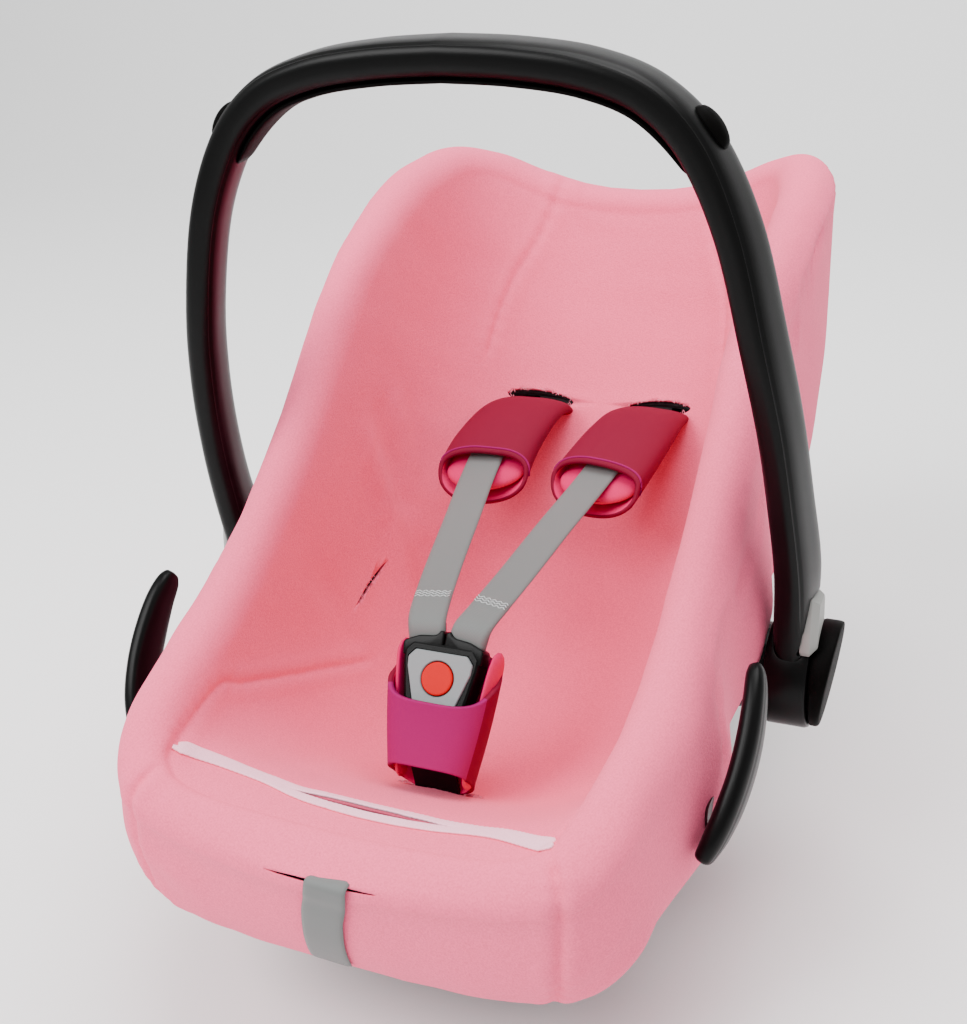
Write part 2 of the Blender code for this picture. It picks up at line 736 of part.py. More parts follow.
def clear_of_back(tree, point, normal, half_width, half_height):
    """Smallest offset along the normal that keeps a flat plate off the curved back."""
    reach = 0.0
    for i in range(7):
        for j in range(5):
            x = half_width * (i / 3 - 1)
            z = point.z + half_height * (j / 2 - 1)
            hit, _ = back_height(tree, x, z)
            reach = max(reach, (hit - point).dot(normal))
    return reach + 0.0008


def make_belt_hook(tree, parts):
    """Rear hook for the shoulder part of the car belt."""
    point, normal = back_height(tree, 0.0, 0.246)
    normal = Vector((0.0, normal.y, normal.z)).normalized()
    down = Vector((1, 0, 0)).cross(normal).normalized()
    if down.z > 0:
        down = -down
    start = point + normal * clear_of_back(tree, point, normal, 0.038, 0.022)
    outline = [(-0.020, 0.0), (0.022, 0.0), (0.022, 0.0045), (0.0045, 0.0045), (0.0045, 0.0170),
               (-0.0155, 0.0170), (-0.0155, 0.0135), (0.0010, 0.0125), (0.0010, 0.0045), (-0.020, 0.0045)]
    side = Vector((1.0, 0.0, 0.0))
    origin = start - side * 0.036
    place = Matrix((
        (down.x, normal.x, side.x, origin.x),
        (down.y, normal.y, side.y, origin.y),
        (down.z, normal.z, side.z, origin.z),
        (0, 0, 0, 1)))
    hook = plate("Shoulder_Belt_Hook", outline, place, 0.072, parts)
    bevel(hook, 0.0008, 2, 50.0)
    return hook


# ---------------------------------------------------------------- harness
def on_buckle(x, u, n):
    """World point from buckle coordinates: across, up its face, out of its face."""
    return BUCKLE + Vector((x, 0.0, 0.0)) + BUCKLE_UP * u + BUCKLE_FACE * n


def buckle_plane(n, twist=0.0, at=(0.0, 0.0)):
    """Matrix placing a plate on the buckle face, optionally turned about its normal."""
    side = Vector((1.0, 0.0, 0.0)) * cos(twist) + BUCKLE_UP * sin(twist)
    up = BUCKLE_UP * cos(twist) - Vector((1.0, 0.0, 0.0)) * sin(twist)
    base = on_buckle(at[0], at[1], n)
    return Matrix((
        (side.x, up.x, BUCKLE_FACE.x, base.x),
        (side.y, up.y, BUCKLE_FACE.y, base.y),
        (side.z, up.z, BUCKLE_FACE.z, base.z),
        (0, 0, 0, 1)))


def shield(half_top, half_low, top, low, drop):
    """Shield outline: wide flat top, tapering lower end."""
    return [
        (-half_top, top - drop), (-half_top * 0.80, top), (half_top * 0.80, top), (half_top, top - drop),
        (half_top * 0.98, top - drop * 2.2), (half_low, low + drop), (half_low * 0.6, low),
        (-half_low * 0.6, low), (-half_low, low + drop), (-half_top * 0.98, top - drop * 2.2),
    ]


def make_buckle(parts, cutters):
    made = {}
    housing = plate("Buckle_Housing", shield(0.0255, 0.0170, 0.0215, -0.040, 0.006),
                    buckle_plane(-0.0180), 0.0180, parts)
    bevel(housing, 0.0020, 2)
    mouth = box("mouth", (0.0420, 0.0045, 0.026), on_buckle(0, 0.0145, -0.0085), cutters,
                Matrix.Rotation(-BUCKLE_LEAN, 3, "X"))
    cut(housing, mouth)
    cut(housing, cylinder("well", 0.0112, on_buckle(0, 0, -0.0155), on_buckle(0, 0, 0.01), cutters, 32))
    recess = plate("recess", shield(0.0222, 0.0140, 0.0168, -0.024, 0.005), buckle_plane(-0.0022),
                   0.012, cutters)
    cut(housing, recess)
    strap_seat = box("strap_seat", (0.0312, 0.0036, 0.016), on_buckle(0, -0.036, -0.0092), cutters,
                     Matrix.Rotation(-BUCKLE_LEAN, 3, "X"))
    cut(housing, strap_seat)
    made["Buckle_Housing"] = (housing, "black_plastic")
    face = plate("Buckle_Plate", shield(0.0216, 0.0134, 0.0162, -0.0234, 0.005),
                 buckle_plane(-0.0022 + GAP), 0.0026, parts)
    cut(face, cylinder("window", 0.0110, on_buckle(0, 0, -0.01), on_buckle(0, 0, 0.01), cutters, 32))
    bevel(face, 0.0006, 1)
    made["Buckle_Plate"] = (face, "pale_grey")
    button = cylinder("Buckle_Button", 0.0104, on_buckle(0, 0, -0.0050), on_buckle(0, 0, 0.0016), parts, 32)
    bevel(button, 0.0010, 2)
    made["Buckle_Button"] = (button, "red_plastic")
    coil = spring_coil("Buckle_Spring", on_buckle(0, 0, -0.0147), on_buckle(0, 0, -0.0059), 0.0058, 0.0005,
                       3, parts)
    made["Buckle_Spring"] = (coil, "steel")
    tongue_outline = [(-0.0082, -0.0055), (0.0082, -0.0055), (0.0082, 0.0065), (0.0100, 0.0090),
                      (0.0100, 0.0165), (-0.0100, 0.0165), (-0.0100, 0.0090), (-0.0082, 0.0065)]
    tongue = plate("Belt_Tongue_R", tongue_outline, buckle_plane(-0.0100, -radians(11), (0.0112, 0.0168)),
                   0.0028, parts)
    made["Belt_Tongue_R"] = (tongue, "black_plastic")
    return made


def make_crotch(parts):
    made = {}
    path = [on_buckle(0, -0.030, -0.0092), on_buckle(0, -0.044, -0.0094), Vector((0, -0.1495, 0.146)),
            Vector((0, -0.1470, 0.130)), Vector((0, -0.1455, 0.106))]
    facing = [BUCKLE_FACE, BUCKLE_FACE, Vector((0, -0.96, 0.28)), Vector((0, -1, 0)), Vector((0, -1, 0))]
    made["Crotch_Strap"] = (strap("Crotch_Strap", path, facing, 0.0300, 0.0028, parts), "black_plastic")
    rings = []
    count = 28
    for k in range(6):
        t = k / 5
        ring_points = []
        for i in range(count):
            ang = 2 * pi * i / count
            lift = 0.5 * (1 - sin(ang))
            top = -0.0150 + 0.036 * lift
            u = -0.060 + (top + 0.060) * t
            half_w = 0.0280 + 0.0095 * t
            half_d = 0.0195 - 0.0010 * t
            x = half_w * math.copysign(abs(cos(ang)) ** 0.8, cos(ang))
            n = half_d * math.copysign(abs(sin(ang)) ** 0.8, sin(ang))
            ring_points.append(on_buckle(x, u, n - 0.0090 - 0.0080 * (1 - t)))
        rings.append(ring_points)
    pad = loft("Crotch_Pad", rings, parts, closed_ends=False)
    mod = pad.modifiers.new("Neoprene", "SOLIDIFY")
    mod.thickness = 0.0035
    mod.offset = -1.0
    mod.use_even_offset = True
    bake(pad)
    made["Crotch_Pad"] = (pad, "crimson_pad")
    return made


SHOULDER_PATH = [
    tuple(on_buckle(0.0134, 0.0235, -0.0056)), tuple(on_buckle(0.0157, 0.0350, -0.0052)),
    (0.0195, -0.0900, 0.2300), (0.0255, -0.0560, 0.2365), (0.0325, -0.0100, 0.2450),
    (0.0400, 0.0360, 0.2530), (0.0450, 0.0780, 0.2590), (0.0470, 0.1180, 0.2610), (0.0472, 0.1500, 0.2585),
    (0.0472, 0.1740, 0.2510), (0.0470, 0.1920, 0.2360), (0.0470, 0.2060, 0.2180),
]


def path_normals(path, x_lean=0.0):
    """Face direction for webbing running mostly in the side plane."""
    found = []
    last = len(path) - 1
    for i in range(len(path)):
        ahead = Vector(path[min(i + 1, last)]) - Vector(path[max(i - 1, 0)])
        flat = Vector((1.0, x_lean, 0.0)).normalized()
        found.append(flat.cross(ahead).normalized())
    return found


def make_shoulder(tree, parts):
    made = {}
    path = [Vector(p) for p in SHOULDER_PATH]
    rear = []
    for x, z in ((0.044, 0.176), (0.036, 0.160), (0.026, 0.146)):
        point, normal = back_height(tree, x, z)
        rear.append(Vector((x, point.y, point.z)) + Vector((0, normal.y, normal.z)).normalized() * 0.0045)
    exit_point, exit_normal = back_height(tree, 0.047, 0.190)
    path.append(Vector((0.047, exit_point.y, exit_point.z)) + Vector((0, 0.6, -0.8)) * 0.0035)
    path += rear
    smooth = []
    count = 40
    table = [tuple(p) for p in path]
    for i in range(count + 1):
        smooth.append(Vector(catmull(table, i / count)))
    normals = path_normals(smooth)
    made["Shoulder_Strap_R"] = (strap("Shoulder_Strap_R", smooth, normals, WEB_W, WEB_T, parts), "webbing")
    rings = []
    count = 20
    sleeve = [Vector(catmull(SHOULDER_PATH, 0.49 + 0.29 * i / 7)) for i in range(8)]
    normals = path_normals(sleeve)
    for i, (point, normal) in enumerate(zip(sleeve, normals)):
        ahead = (sleeve[min(i + 1, 7)] - sleeve[max(i - 1, 0)]).normalized()
        side = ahead.cross(normal).normalized()
        flare = 1.0 - 0.22 * (i / 7)
        half_w = 0.0330 * flare
        half_t = 0.0150 - 0.0060 * i / 7
        centre = point - normal * (0.0050 - 0.0040 * i / 7)
        outline = rounded_outline(half_w, half_t, 2.3, count)
        rings.append([centre + side * u + normal * v for u, v in outline])
    pad = loft("Shoulder_Pad_R", rings, parts, closed_ends=False)
    mod = pad.modifiers.new("Neoprene", "SOLIDIFY")
    mod.thickness = 0.0035
    mod.offset = -1.0
    mod.use_even_offset = True
    bake(pad)
    made["Shoulder_Pad_R"] = (pad, "crimson_pad")
    return made


def make_splitter(tree, parts):
    point, normal = back_height(tree, 0.0, 0.131)
    normal = Vector((0.0, normal.y, normal.z)).normalized()
    up = normal.cross(Vector((1, 0, 0))).normalized()
    if up.z < 0:
        up = -up
    base = point + normal * clear_of_back(tree, point, normal, 0.038, 0.010)
    place = Matrix(((1, up.x, normal.x, base.x), (0, up.y, normal.y, base.y), (0, up.z, normal.z, base.z),
                    (0, 0, 0, 1)))
    outline = [(-0.036, 0.012), (0.036, 0.012), (0.036, 0.001), (0.017, -0.014), (-0.017, -0.014),
               (-0.036, 0.001)]
    yoke = plate("Harness_Splitter", outline, place, 0.0025, parts)
    bevel(yoke, 0.0006, 1)
    return yoke


# ---------------------------------------------------------------- front adjuster
ADJ = Vector((0.0, -0.2360, 0.1610))
ADJ_TILT = radians(-24)


def adj_point(x, along, up):
    """Point in the adjuster's frame: across, toward the foot end, out of the seat."""
    turn = Matrix.Rotation(ADJ_TILT, 3, "X")
    return ADJ + turn @ Vector((x, -along, up))


def make_adjuster(parts, cutters):
    made = {}
    turn = Matrix.Rotation(ADJ_TILT, 3, "X")
    housing = box("Adjuster_Housing", (0.040, 0.026, 0.012), adj_point(0, 0, -0.004), parts, turn)
    bevel(housing, 0.0012, 2)
    well = box("well", (0.030, 0.020, 0.012), adj_point(0, 0, 0.0005), cutters, turn)
    cut(housing, well)
    bore = cylinder("pin_bore", 0.0019, adj_point(-0.03, 0.006, -0.0015), adj_point(0.03, 0.006, -0.0015),
                    cutters, 16)
    cut(housing, bore)
    made["Adjuster_Housing"] = (housing, "black_plastic")
    lever = box("Adjuster_Lever", (0.0288, 0.0188, 0.0030), adj_point(0, 0, 0.0008), parts, turn)
    barrel = cylinder("barrel", 0.0031, adj_point(-0.0144, 0.006, -0.0015), adj_point(0.0144, 0.006, -0.0015),
                      cutters, 20)
    join_solid(lever, barrel)
    cut(lever, cylinder("eye", 0.0019, adj_point(-0.03, 0.006, -0.0015), adj_point(0.03, 0.006, -0.0015),
                        cutters, 16))
    made["Adjuster_Lever"] = (lever, "grey_plastic")
    pin = cylinder("Adjuster_Pin", 0.0015, adj_point(-0.0195, 0.006, -0.0015),
                   adj_point(0.0195, 0.006, -0.0015), parts, 16)
    made["Adjuster_Pin"] = (pin, "steel")
    coil = spring_coil("Adjuster_Spring", adj_point(0, -0.006, -0.0047), adj_point(0, -0.006, -0.0014), 0.0026,
                       0.0003, 3, parts)
    made["Adjuster_Spring"] = (coil, "steel")
    return made


def make_tail(tree, parts):
    """Front end of the adjuster strap: out through the slit and down the foot end."""
    path = [Vector((0, -0.2560, 0.1695)), Vector((0, -0.2720, 0.1705))]
    front = []
    for z in (0.1655, 0.1560, 0.1440, 0.1310, 0.1180, 0.1060, 0.0950):
        hit = tree.ray_cast(Vector((0, -0.6, z)), Vector((0, 1, 0)))
        normal = Vector((0, hit[1].y, hit[1].z)).normalized()
        front.append(hit[0] + normal * 0.0024)
    lead = tree.ray_cast(Vector((0, -0.6, 0.1705)), Vector((0, 1, 0)))[0]
    path.append(lead + Vector((0, -0.0005, 0.0)))
    path += front
    table = [tuple(p) for p in path]
    smooth = [Vector(catmull(table, i / 26)) for i in range(27)]
    return strap("Adjuster_Strap", smooth, path_normals(smooth), WEB_W, WEB_T, parts)


def make_binding(tree, parts):
    """Pale binding stitched across the foot end, just behind the adjuster opening."""
    rings = []
    count = 40
    for i in range(count + 1):
        x = -0.1200 + 0.2400 * i / count
        y = -0.2155 - 0.0190 * (x / 0.120) ** 2
        row = []
        for step in (-0.0032, 0.0, 0.0032):
            hit = tree.ray_cast(Vector((x, y + step, 0.6)), Vector((0, 0, -1)))[0]
            row.append(hit)
        low = [p + Vector((0, 0, 0.0014)) for p in row]
        high = [p + Vector((0, 0, 0.0026)) for p in row]
        rings.append(low + high[::-1])
    return loft("Cover_Binding", rings, parts)


# ---------------------------------------------------------------- assembly
def tree_of(obj):
    mesh = obj.data
    points = [v.co.copy() for v in mesh.vertices]
    return BVHTree.FromPolygons(points, [tuple(p.vertices) for p in mesh.polygons])


def open_body(cover, foam, shell, cutters):
    """Every slot, pocket and clearance hole in the three bucket layers."""
    through = Vector((0, 0.660, -0.752))
    lean = Matrix.Rotation(math.atan2(0.660, 0.752), 3, "X")
    for side in (-1, 1):
        centre = Vector((side * SLOT_X, 0.192, 0.236)) + through * 0.028
        slot = box("shoulder_slot", (SLOT_W, 0.0095, 0.130), centre, cutters, lean)
        for layer in (cover, foam, shell):
            cut(layer, slot)
        clearance = cylinder("hub_hole", 0.034, (side * 0.150, *PIVOT), (side * 0.2, *PIVOT), cutters, 40)
        cut(cover, clearance)
        cheek = box("cheek_hole", (0.06, 0.040, 0.036), (side * 0.175, -0.143, 0.149), cutters)
        cut(cover, cheek)
    crotch = box("crotch_slot", (0.040, 0.0095, 0.070), (0, -0.1465, 0.125), cutters)
    cut(cover, crotch)
    cut(foam, crotch)
    turn = Matrix.Rotation(ADJ_TILT, 3, "X")
    lens = box("lens", (0.088, 0.0085, 0.040), adj_point(0, 0, 0.010), cutters, turn)
    cut(cover, lens)
    pocket = box("adjuster_pocket", (0.046, 0.034, 0.060), adj_point(0, 0, 0.015), cutters, turn)
    cut(foam, pocket)
    channel = box("strap_channel", (0.030, 0.070, 0.0075), (0, -0.280, 0.1700), cutters)
    for layer in (cover, foam, shell):
        cut(layer, channel)


def place_origins(parts):
    """Put each moving piece's origin on the axis it moves about or along."""
    for name in ("Carry_Handle", "Handle_Grip"):
        set_origin(parts.objects[name], (0.0, *PIVOT))
    for tag, side in (("_R", 1), ("_L", -1)):
        on_axis = {"Hub_Disc": DRUM_OUT, "Canopy_Hook": 0.0, "Lock_Gear": 0.2006, "Lock_Spring": 0.1862}
        for name, x in on_axis.items():
            set_origin(parts.objects[name + tag], (side * x, *PIVOT))
        set_origin(parts.objects["Release_Button" + tag], (side * 0.2073, *BUTTON_MID))
    set_origin(parts.objects["Buckle_Button"], BUCKLE)
    set_origin(parts.objects["Adjuster_Lever"], adj_point(0, 0.006, -0.0015))


def add_pair(made, parts):
    """Finish right-hand pieces and their mirror twins."""
    for name, (obj, key) in made.items():
        if name.endswith("_R"):
            twin = mirrored(obj, name[:-2] + "_L", parts)
            finish(twin, key)
        finish(obj, key)


def main():
    clear_scene()
    parts = new_collection(NAME)
    cutters = new_collection(NAME + "_Cutters")
    cover = make_cover(parts)
    shell = make_shell(parts)
    foam = make_foam(parts)
    cover_tree = tree_of(cover)
    shell_tree = tree_of(shell)
    open_body(cover, foam, shell, cutters)
    made = {
        "Rocker_Rail_R": (make_rail(shell_tree, parts), "soft_black"),
        "Belt_Guide_R": (make_guide(parts), "black_plastic"),
        "Belt_Guide_Cheek_R": (make_cheek(shell_tree, parts), "black_plastic"),
        "Canopy_Hook_R": (make_canopy_hook(parts), "soft_black"),
    }
    made.update(make_hub(parts, cutters))
    made.update(make_buckle(parts, cutters))
    made.update(make_crotch(parts))
    made.update(make_shoulder(shell_tree, parts))
    made.update(make_adjuster(parts, cutters))
    add_pair(made, parts)
    finish(cover, "terry_pink")
    finish(shell, "black_plastic")
    finish(foam, "foam")
    finish(make_handle(parts, cutters), "black_plastic")
    finish(make_grip(parts), "soft_black")
    finish(make_dock_bar("Dock_Bar_Front", -0.118, 0.030, parts), "steel")
    finish(make_dock_bar("Dock_Bar_Rear", 0.098, 0.034, parts), "steel")
    finish(make_belt_hook(shell_tree, parts), "black_plastic")
    finish(make_splitter(shell_tree, parts), "steel")
    finish(make_tail(cover_tree, parts), "webbing")
    finish(make_binding(cover_tree, parts), "pale_binding")
    place_origins(parts)
    for obj in cutters.objects:
        obj.hide_render = True
        obj.display_type = "WIRE"


main()
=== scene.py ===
"""Infant car seat: stretch terry cover, padded harness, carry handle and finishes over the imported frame."""
import json
import math
import random
from math import cos, sin, pi, radians

import bmesh
import bpy
import numpy as np
from mathutils import Matrix, Vector, noise
from mathutils.bvhtree import BVHTree

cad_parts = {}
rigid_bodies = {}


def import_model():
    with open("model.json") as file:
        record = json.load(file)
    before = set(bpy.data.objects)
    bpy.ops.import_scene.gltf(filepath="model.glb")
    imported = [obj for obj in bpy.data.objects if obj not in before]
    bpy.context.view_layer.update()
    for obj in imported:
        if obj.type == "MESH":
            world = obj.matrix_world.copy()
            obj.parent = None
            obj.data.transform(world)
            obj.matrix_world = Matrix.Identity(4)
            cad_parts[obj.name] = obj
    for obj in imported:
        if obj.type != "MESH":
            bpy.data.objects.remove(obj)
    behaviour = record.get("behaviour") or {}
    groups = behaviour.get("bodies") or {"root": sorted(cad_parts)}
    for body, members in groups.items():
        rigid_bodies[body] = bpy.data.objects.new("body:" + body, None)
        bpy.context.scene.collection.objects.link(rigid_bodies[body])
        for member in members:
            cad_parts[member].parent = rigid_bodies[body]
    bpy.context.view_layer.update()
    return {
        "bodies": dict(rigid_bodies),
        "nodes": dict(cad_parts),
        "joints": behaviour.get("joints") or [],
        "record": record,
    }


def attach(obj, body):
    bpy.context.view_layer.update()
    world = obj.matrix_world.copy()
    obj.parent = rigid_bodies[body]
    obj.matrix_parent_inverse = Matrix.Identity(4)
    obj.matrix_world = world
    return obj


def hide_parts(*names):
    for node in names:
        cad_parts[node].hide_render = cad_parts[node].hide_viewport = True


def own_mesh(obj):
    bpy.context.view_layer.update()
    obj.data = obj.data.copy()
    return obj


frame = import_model()
NODES = frame["nodes"]
random.seed(7)

PIVOT_Y = -0.012
PIVOT_Z = 0.168
HANDLE_JOINT = [j for j in frame["joints"] if j["name"] == "handle_pivot"][0]
# the tables below are written before this shift, which centres the part's length on the origin
SHIFT = Vector((0.0, HANDLE_JOINT["pos_m"][1] - PIVOT_Y, 0.0))
ACROSS = Vector((1.0, 0.0, 0.0))
SIDES = (("_R", 1), ("_L", -1))


# ---------------------------------------------------------------- camera
def make_camera():
    data = bpy.data.cameras.new("Camera")
    data.lens = 49.22
    data.sensor_width = 36.0
    data.clip_start = 0.01
    data.clip_end = 60.0
    cam = bpy.data.objects.new("Camera", data)
    bpy.context.scene.collection.objects.link(cam)
    right = (0.920702, 0.383589, -0.071891)
    up = (-0.115961, 0.444779, 0.888102)
    back = (0.37264, -0.80934, 0.45399)
    place = (0.33381, -0.7880, 0.67821)
    rows = [(right[i], up[i], back[i], place[i]) for i in range(3)]
    cam.matrix_world = Matrix((*rows, (0.0, 0.0, 0.0, 1.0)))
    bpy.context.scene.camera = cam


make_camera()


# ---------------------------------------------------------------- materials
def new_material(name, colour, rough, metal=0.0, sheen=0.0, spec=0.5):
    mat = bpy.data.materials.new(name)
    mat.use_nodes = True
    tree = mat.node_tree
    bsdf = tree.nodes["Principled BSDF"]
    bsdf.inputs["Base Color"].default_value = (*colour, 1.0)
    bsdf.inputs["Roughness"].default_value = rough
    bsdf.inputs["Metallic"].default_value = metal
    bsdf.inputs["Specular IOR Level"].default_value = spec
    if sheen:
        bsdf.inputs["Sheen Weight"].default_value = sheen
        bsdf.inputs["Sheen Roughness"].default_value = 0.45
        bsdf.inputs["Sheen Tint"].default_value = (1.0, 0.86, 0.9, 1.0)
    mat.diffuse_color = (*colour, 1.0)
    return mat, tree, bsdf


def link_bump(tree, bsdf, height, distance):
    bump = tree.nodes.new("ShaderNodeBump")
    bump.inputs["Distance"].default_value = distance
    bump.inputs["Strength"].default_value = 1.0
    tree.links.new(height, bump.inputs["Height"])
    tree.links.new(bump.outputs["Normal"], bsdf.inputs["Normal"])


def fine_noise(tree, scale, detail=2.0, rough=0.5):
    """Output of a noise texture in object coordinates."""
    coord = tree.nodes.new("ShaderNodeTexCoord")
    node = tree.nodes.new("ShaderNodeTexNoise")
    node.inputs["Scale"].default_value = scale
    node.inputs["Detail"].default_value = detail
    node.inputs["Roughness"].default_value = rough
    tree.links.new(coord.outputs["Object"], node.inputs["Vector"])
    return node.outputs["Fac"]


def ramp_colour(tree, bsdf, factor, colour, spread, low=0.35, high=0.65):
    """Base colour that varies from darker to lighter than colour by the two spreads."""
    ramp = tree.nodes.new("ShaderNodeValToRGB")
    for stop, place, share in zip(ramp.color_ramp.elements, (low, high), spread):
        stop.position = place
        stop.color = (*(min(1.0, c * share) for c in colour), 1.0)
    tree.links.new(factor, ramp.inputs["Fac"])
    tree.links.new(ramp.outputs["Color"], bsdf.inputs["Base Color"])


def fabric(name, colour, pile, depth, sheen=0.35, contrast=0.10, rough=0.95):
    """Looped or brushed cloth: fine pile relief, its colour darker where the relief is low and lighter where it
    is high, painted shade in the pile's hollows.
    """
    mat, tree, bsdf = new_material(name, colour, rough, sheen=sheen, spec=0.15)
    fine = fine_noise(tree, pile, 3.0, 0.6)
    # the colour follows the pile's height: painted shade in its hollows, lighter on its tops
    ramp_colour(tree, bsdf, fine, colour, (1.0 - contrast, 1.0 + contrast))
    link_bump(tree, bsdf, fine, depth)
    return mat


def plastic(name, colour, rough, grain=1500.0, depth=0.00006, spec=0.5, metal=0.0):
    """Moulded plastic, or metal, with a fine even grain."""
    mat, tree, bsdf = new_material(name, colour, rough, metal, spec=spec)
    link_bump(tree, bsdf, fine_noise(tree, grain), depth)
    return mat


def math_node(tree, operation, *inputs):
    """Output of a Math node; an input is a socket or a number."""
    node = tree.nodes.new("ShaderNodeMath")
    node.operation = operation
    for socket, value in zip(node.inputs, inputs):
        if isinstance(value, float):
            socket.default_value = value
        else:
            tree.links.new(value, socket)
    return node.outputs[0]


def webbing(name, colour, rib_across=0.0011, rib_along=0.0009):
    """Woven strap: ribs across and along, laid out in UV metres; its colour darker in the weave's hollows and
    lighter on its ribs, painted shade.
    """
    mat, tree, bsdf = new_material(name, colour, 0.62, sheen=0.15, spec=0.4)
    coord = tree.nodes.new("ShaderNodeTexCoord")
    split = tree.nodes.new("ShaderNodeSeparateXYZ")
    tree.links.new(coord.outputs["UV"], split.inputs["Vector"])
    ribs = [math_node(tree, "SINE", math_node(tree, "MULTIPLY", split.outputs[channel], 2 * pi / pitch))
            for channel, pitch in (("X", rib_across), ("Y", rib_along))]
    weave = math_node(tree, "MULTIPLY", *ribs)
    height = math_node(tree, "MULTIPLY_ADD", weave, 0.5, 0.5)
    # colour follows the weave's height: painted shade in its hollows, painted light on its ribs
    ramp_colour(tree, bsdf, height, colour, (0.90, 1.08), 0.1, 0.9)
    link_bump(tree, bsdf, height, 0.00012)
    return mat


TERRY = fabric("Terry_Pink", (0.95, 0.128, 0.245), 900.0, 0.0005, sheen=0.10)
BINDING = fabric("Binding_Pale", (0.97, 0.48, 0.60), 1600.0, 0.0002, sheen=0.2)
FRAY = fabric("Fray_Thread", (0.70, 0.22, 0.30), 1600.0, 0.0001, sheen=0.1)
NEOPRENE = fabric("Neoprene_Crimson", (0.162, 0.0014, 0.021), 2200.0, 0.00008, 0.0, 0.05, 0.72)
MAGENTA = fabric("Neoprene_Magenta", (0.27, 0.0020, 0.095), 2200.0, 0.00008, 0.0, 0.05, 0.72)
LINING = fabric("Lining_Neon", (0.60, 0.004, 0.098), 1800.0, 0.0001, 0.0, 0.05, 0.85)
STITCH = fabric("Stitch_Thread", (0.50, 0.51, 0.51), 2500.0, 0.00005, sheen=0.1, contrast=0.05)
WEB = webbing("Webbing_Grey", (0.128, 0.134, 0.130))
BLACK = plastic("Plastic_Black", (0.0006, 0.0006, 0.0006), 0.33, spec=0.11)
SOFT = plastic("Plastic_Soft_Black", (0.0014, 0.0012, 0.0011), 0.55, 1100.0, 0.00012, spec=0.03)
GREY = plastic("Plastic_Grey", (0.235, 0.235, 0.222), 0.45)
PALE = plastic("Plastic_Pale_Grey", (0.190, 0.208, 0.212), 0.38, spec=0.3)
RED = plastic("Plastic_Red", (0.52, 0.002, 0.004), 0.40, spec=0.08)
FOAM = fabric("Foam_Grey", (0.055, 0.055, 0.058), 260.0, 0.0004, sheen=0.0, contrast=0.15)


STEEL = plastic("Steel_Zinc", (0.55, 0.56, 0.58), 0.30, 700.0, 0.00002, metal=1.0)
BY_SLOT = {
    "black_plastic": BLACK, "soft_black": SOFT, "grey_plastic": GREY, "pale_grey": PALE, "red_plastic": RED,
    "terry_pink": TERRY, "pale_binding": BINDING, "crimson_pad": NEOPRENE, "webbing": WEB, "foam": FOAM,
    "steel": STEEL,
}


def dress_nodes():
    """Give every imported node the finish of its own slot."""
    slot_of = {s["node"]: s["material_slot"] for s in frame["record"]["subparts"]}
    for name, obj in NODES.items():
        for slot in obj.material_slots:
            slot.material = BY_SLOT[slot_of[name]]
    NODES["Adjuster_Lever"].material_slots[0].material = SOFT


dress_nodes()


# ---------------------------------------------------------------- mesh helpers
def add_piece(name, verts, faces, mats, body="seat", smooth=True, uvs=None, marks=None):
    """New mesh in the row frame: shifted, shaded, given its materials and its body."""
    mesh = bpy.data.meshes.new(name)
    mesh.from_pydata([tuple(v) for v in verts], [], faces)
    mesh.transform(Matrix.Translation(SHIFT))
    mesh.update()
    obj = bpy.data.objects.new(name, mesh)
    bpy.context.scene.collection.objects.link(obj)
    for mat in mats:
        mesh.materials.append(mat)
    if marks is not None:
        mesh.polygons.foreach_set("material_index", marks)
    if uvs is not None:
        layer = mesh.uv_layers.new(name="UVMap")
        index = np.empty(len(mesh.loops), np.int32)
        mesh.loops.foreach_get("vertex_index", index)
        layer.data.foreach_set("uv", np.asarray(uvs, np.float32)[index].ravel())
    if smooth:
        mesh.shade_smooth()
    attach(obj, body)
    return obj


def add_threads(name, lines, radius, mat):
    """Thin round threads along short lines of points, joined as one piece."""
    curve = bpy.data.curves.new(name, "CURVE")
    curve.dimensions = "3D"
    curve.bevel_depth = radius
    curve.bevel_resolution = 1
    curve.use_fill_caps = True
    for points in lines:
        spline = curve.splines.new("POLY")
        spline.points.add(len(points) - 1)
        for place, point in zip(spline.points, points):
            place.co = (*(point + SHIFT), 1.0)
    temp = bpy.data.objects.new(name + "_curve", curve)
    bpy.context.scene.collection.objects.link(temp)
    bpy.context.view_layer.update()
    mesh = bpy.data.meshes.new_from_object(temp.evaluated_get(bpy.context.evaluated_depsgraph_get()))
    bpy.data.objects.remove(temp, do_unlink=True)
    mesh.materials.clear()
    mesh.materials.append(mat)
    obj = bpy.data.objects.new(name, mesh)
    bpy.context.scene.collection.objects.link(obj)
    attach(obj, "seat")
    return obj


def bake(obj):
    """Apply the object's modifiers."""
    bpy.context.view_layer.update()
    deps = bpy.context.evaluated_depsgraph_get()
    mesh = bpy.data.meshes.new_from_object(obj.evaluated_get(deps))
    obj.modifiers.clear()
    obj.data = mesh


def solidify(obj, thickness, inner=0, even=True):
    """Give a sheet its thickness on the inside; inner steps the inner face's material index."""
    mod = obj.modifiers.new("Wall", "SOLIDIFY")
    mod.thickness = thickness
    mod.offset = -1.0
    mod.material_offset = inner
    mod.material_offset_rim = 0
    mod.use_even_offset = even
    bake(obj)


def smooth_by_angle(obj, degrees):
    """Smooth shading with crisp edges where faces meet at more than this angle."""
    mesh = obj.data
    bm = bmesh.new()
    bm.from_mesh(mesh)
    bmesh.ops.recalc_face_normals(bm, faces=bm.faces)
    for edge in bm.edges:
        edge.smooth = not (len(edge.link_faces) == 2 and edge.calc_face_angle(0.0) > radians(degrees))
    for face in bm.faces:
        face.smooth = True
    bm.to_mesh(mesh)
    bm.free()


def boolean(obj, tool, operation="DIFFERENCE"):
    mod = obj.modifiers.new("Cut", "BOOLEAN")
    mod.operation = operation
    mod.solver = "EXACT"
    mod.object = tool
    bake(obj)
    bpy.data.objects.remove(tool, do_unlink=True)


